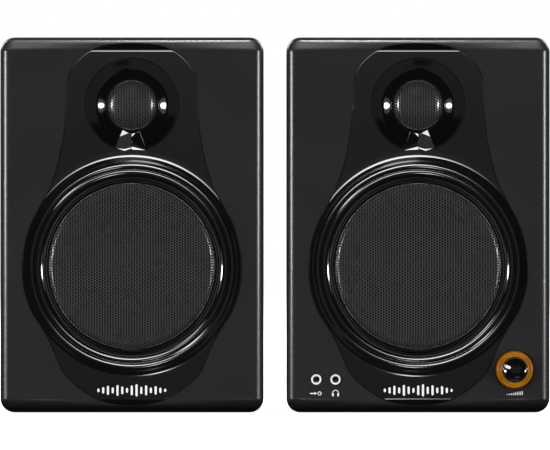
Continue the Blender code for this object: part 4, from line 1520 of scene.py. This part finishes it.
def softened(node, finish, width):
    """A merged copy of a node of the working model, with softened edges."""
    bm = bmesh.new()
    bm.from_mesh(frame["nodes"][node].data)
    bmesh.ops.remove_doubles(bm, verts=bm.verts, dist=0.01 * MM)
    bmesh.ops.dissolve_limit(bm, angle_limit=radians(1), verts=bm.verts, edges=bm.edges)
    made = piece(node + "_soft", bm, finish, smooth=40)
    step = made.modifiers.new("soften", "BEVEL")
    step.width = width * MM
    step.segments = 2
    step.limit_method = "ANGLE"
    step.angle_limit = radians(40)
    settle(made)
    made.data.set_sharp_from_angle(angle=radians(50))
    return flatten_shading(made)


soft = {}
for node, original in frame["nodes"].items():
    kind = node.split("_", 1)[1]
    if kind in FINISH_OF:
        finish, width, slot = FINISH_OF[kind]
        soft[node] = (softened(node, finish, width), original["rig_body"], slot)
print("softened:", len(soft))

# %% [markdown]
# ## Screws, line sockets and prints on the backs
#
# Cross-head screws hold the metal plate of the active speaker and the terminal cup of
# the passive one. One Geometry Nodes tree puts a screw on every point it is given and
# twists each by its own random angle, as screws end up when they are driven. The line
# sockets have a coloured collar and a pale insulator, and the plate carries small
# printed signs.


# %% One screw, and the tree that repeats it
def one_screw():
    head = [Vector(p) * MM for p in ((0, -1.3), (0.9, -1.28), (1.7, -1.05), (2.3, -0.7),
                                     (2.65, -0.3), (2.7, 0), (2.7, 0.3), (0, 0.3))]
    screw = piece("screw", turn(head, Vector((0, 0, 0)), 28), nickel, smooth=40)
    for wide, tall in ((0.42, 1.5), (1.5, 0.42)):
        bm = bmesh.new()
        bmesh.ops.create_cube(bm, size=2)
        bmesh.ops.scale(bm, vec=(wide * MM, 0.9 * MM, tall * MM), verts=bm.verts)
        bmesh.ops.translate(bm, vec=(0, 1.4 * MM, 0), verts=bm.verts)
        carve(screw, piece("cross", bm, nickel, smooth=30))
    return screw


def screws_on_points():
    g = Nodes("screws_on_points", {"Points": "Geometry", "Screw": "Object",
                                   "Seed": "Int", "Finish": "Material"})
    i = g.inputs
    screw = g.add("GeometryNodeObjectInfo", {"Object": i["Screw"]}, out="Geometry")
    twist = g.add("FunctionNodeRandomValue", {0: (0, 0, 0), 1: (0, 2 * pi, 0),
                                              "Seed": i["Seed"]},
                  data_type="FLOAT_VECTOR")
    placed = g.add("GeometryNodeInstanceOnPoints", {"Points": i["Points"],
                                                    "Instance": screw,
                                                    "Rotation": twist})
    real = g.add("GeometryNodeRealizeInstances", {"Geometry": placed})
    g.close(g.add("GeometryNodeSetMaterial", {"Geometry": real,
                                              "Material": i["Finish"]}))
    return g


screw_tree = screws_on_points()
screw_model = one_screw()


def screws(name, front, back, places, seed):
    mesh = bpy.data.meshes.new(name)
    mesh.from_pydata([front.at(px * MM, back, pz * MM) for px, pz in places], [], [])
    obj = bpy.data.objects.new(name, mesh)
    bpy.context.scene.collection.objects.link(obj)
    screw_tree.run(obj, {"Screw": screw_model, "Seed": seed, "Finish": nickel})
    return obj


PLATE_MARGIN, CUP_MARGIN = 4.5, 3.6             # screw to rim, in mm
plate_low, plate_high = right.span("right_amp_plate")
side_x = plate_high.x / MM - PLATE_MARGIN
low_z, high_z = plate_low.z / MM + PLATE_MARGIN, plate_high.z / MM - PLATE_MARGIN
plate_places = [(x, z) for x in (-side_x, side_x)
                for z in (low_z, (low_z + high_z) / 2, high_z)]
plate_places += [(0, high_z), (0, low_z)]
plate_screws = screws("plate_screws", right, plate_high.y, plate_places, 3)
left = fronts["left"]
cup_low, cup_high = left.span("left_terminal_cup")
cup_places = [(x, z) for x in (cup_low.x / MM + CUP_MARGIN, cup_high.x / MM - CUP_MARGIN)
              for z in (cup_low.z / MM + CUP_MARGIN, cup_high.z / MM - CUP_MARGIN)]
cup_screws = screws("cup_screws", left, cup_high.y, cup_places, 5)
bpy.data.objects.remove(screw_model, do_unlink=True)
print("screws:", len(plate_places) + len(cup_places))


# %% Collars, insulators and signs
def rear_ring(name, x, z, outline, finish):
    line = [Vector((r * MM, -reach * MM)) for r, reach in outline]
    bm = turn(line, right.at(x * MM, 0, z * MM), 48, closed=True)
    return piece(name, bm, finish, smooth=40)


back = plate_high.y / MM
sockets_low, sockets_high = right.span("right_rca_sockets")
line_x = (sockets_low.x + sockets_high.x) / 2 / MM
tip = sockets_high.y / MM
line_rings = []
for label, z, finish in (("lower", 54, red_plastic), ("upper", 70, cream)):
    line_rings.append(rear_ring(label + "_line_collar", line_x, z, [
        (4.35, back - 0.3), (4.35, back + 1.1), (4.6, back + 1.3), (5.5, back + 1.3),
        (5.8, back + 1.0), (5.8, back - 0.3)], finish))
    line_rings.append(rear_ring(label + "_line_insulator", line_x, z, [
        (1.5, tip - 3), (1.5, tip + 0.02), (1.7, tip + 0.15), (3.2, tip + 0.15),
        (3.4, tip + 0.02), (3.4, tip - 3)], cream))

power_x, wire_z = 42, 36.5
signs = [arc_band(power_x, 68, 2.2, 2.75, 125, 415), stadium(power_x, 69.6, 0.3, 1.5),
         stadium(8, wire_z, 0.32, 1.5),
         [(6.5, wire_z - 0.32), (9.5, wire_z - 0.32), (9.5, wire_z + 0.32),
          (6.5, wire_z + 0.32)],
         [(-9.5, wire_z - 0.32), (-6.5, wire_z - 0.32), (-6.5, wire_z + 0.32),
          (-9.5, wire_z + 0.32)],
         arc_band(line_x, 62, 15, 15.5, 75, 285, 40)]
signs += [stadium(line_x + (i - 2) * 1.6, 84, 0.4, tall / 2)
          for i, tall in enumerate((1.8, 3.4, 5.0, 2.8, 1.6))]
rear_signs = ink("rear_signs", right, signs, -plate_high.y - 0.02 * MM)
print("rear pieces:", len(line_rings) + 1)

# %% [markdown]
# ## Joining the pieces to the moving bodies
#
# Each piece rides on the body of the working model that it belongs to, so it moves with
# that body's joint. Most of them take the place of a plain piece of the working model.

# %% Everything rides on its body
def attach(obj, body, slot, *nodes):
    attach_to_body(obj, body)
    if nodes:
        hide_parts(*nodes)


for front in fronts.values():
    s, body = front.side, front.body
    attach(front.shell, body, "grey_moulding", s + "_front_baffle")
    attach(front.inlay, body, "gloss_black", s + "_gloss_panel")
    attach(front.ring, body, "gloss_black", s + "_woofer_ring")
    attach(front.guide, body, "gloss_black", s + "_tweeter_waveguide")
    for half in front.noses:
        attach(half, body, "gloss_black")
    attach(front.grille, body, "grille_steel", s + "_woofer_grille")
    attach(front.small_grille, body, "grille_steel", s + "_tweeter_grille")
    attach(front.mark, body, "gloss_black")
    attach(front.box, body, "black_vinyl", s + "_cabinet")
    attach(front.port, body, "black_plastic", s + "_bass_port")
attach(knob, "volume_knob", "gloss_black", "right_volume_knob")
attach(knob_pointer, "volume_knob", "gloss_black")
attach(light_ring, "right_speaker", "amber_plastic", "right_light_ring")
for node, pieces in front_sockets.items():
    attach(pieces[0], "right_speaker", "nickel", node)
    attach(pieces[1], "right_speaker", "black_plastic")
    attach(pieces[2], "right_speaker", "nickel")
    attach(pieces[3], "right_speaker", "gloss_black")
attach(front_icons, "right_speaker", "grey_moulding")
attach(plate_screws, "right_speaker", "nickel")
attach(cup_screws, "left_speaker", "nickel")
attach(rear_signs, "right_speaker", "black_steel")
for ring in line_rings:
    attach(ring, "right_speaker", "black_plastic")
for node, (obj, body, slot) in soft.items():
    attach(obj, body, slot, node)
print("softened and attached:", len(soft))

# %% The pieces kept from the working model get their finishes
KEPT = {
    "woofer_basket": steel_plate, "woofer_magnet": ferrite, "woofer_yoke": steel_plate,
    "woofer_cone": paper_finish, "woofer_voice_coil": copper, "woofer_surround": rubber,
    "woofer_spider": silk, "tweeter_dome": silk, "tweeter_magnet": ferrite,
    "crossover_board": board_finish, "volume_pot": nickel, "control_board": board_finish,
    "amp_board": board_finish, "heat_sink": aluminium, "transformer": steel_plate,
}
for node, obj in frame["nodes"].items():
    kind = node.split("_", 1)[1]
    if kind in KEPT:
        obj.data.materials.clear()
        obj.data.materials.append(KEPT[kind])
print("kept kinds:", len(KEPT))

# %% [markdown]
# ## Flags
#
# In a studio a light is kept off some pieces with small black flags. Here the same is
# done with light linking. The two strong cards above are kept off the satin
# fronts, the grilles and the knob, and all of those above and below are kept out of the
# horns, which they would flood. The nose cards light only the noses, and each overhead
# card only the top edge of its own front.

# %% Flag the lights
def flag(lamp, pieces):
    """Keep a light off some pieces."""
    group = bpy.data.collections.new(lamp.name + "_flagged")
    lamp.light_linking.receiver_collection = group
    for obj in pieces:
        group.objects.link(obj)
    for member in group.collection_objects:
        member.light_linking.link_state = "EXCLUDE"


satin = [front.shell for front in fronts.values()]
horns = [front.guide for front in fronts.values()]
sheets = [front.grille for front in fronts.values()]
sheets += [front.small_grille for front in fronts.values()]
noses = [half for front in fronts.values() for half in front.noses]
inlays = [front.inlay for front in fronts.values()]
caps = [knob, light_ring]
flag(lamps["top_card"], satin + horns + sheets + noses + caps)
flag(lamps["left_high_card"], satin + horns + sheets + noses + caps)
flag(lamps["top_glow"], horns + noses)
flag(lamps["low_card"], horns + sheets + noses + caps)
flag(lamps["band_glow"], horns + sheets + noses + inlays)


def aim_only_at(lamp, pieces):
    """Let a light reach only some pieces."""
    group = bpy.data.collections.new(lamp.name + "_reaches")
    lamp.light_linking.receiver_collection = group
    for obj in pieces:
        group.objects.link(obj)


for side, front in fronts.items():
    aim_only_at(lamps[side + "_overhead_card"], [front.shell])
    aim_only_at(lamps[side + "_nose_glow"], front.noses)
aim_only_at(lamps["nose_card"], noses)
print("lights kept off or aimed:", sum(bool(lamp.light_linking.receiver_collection)
                                       for lamp in lamps.values()))
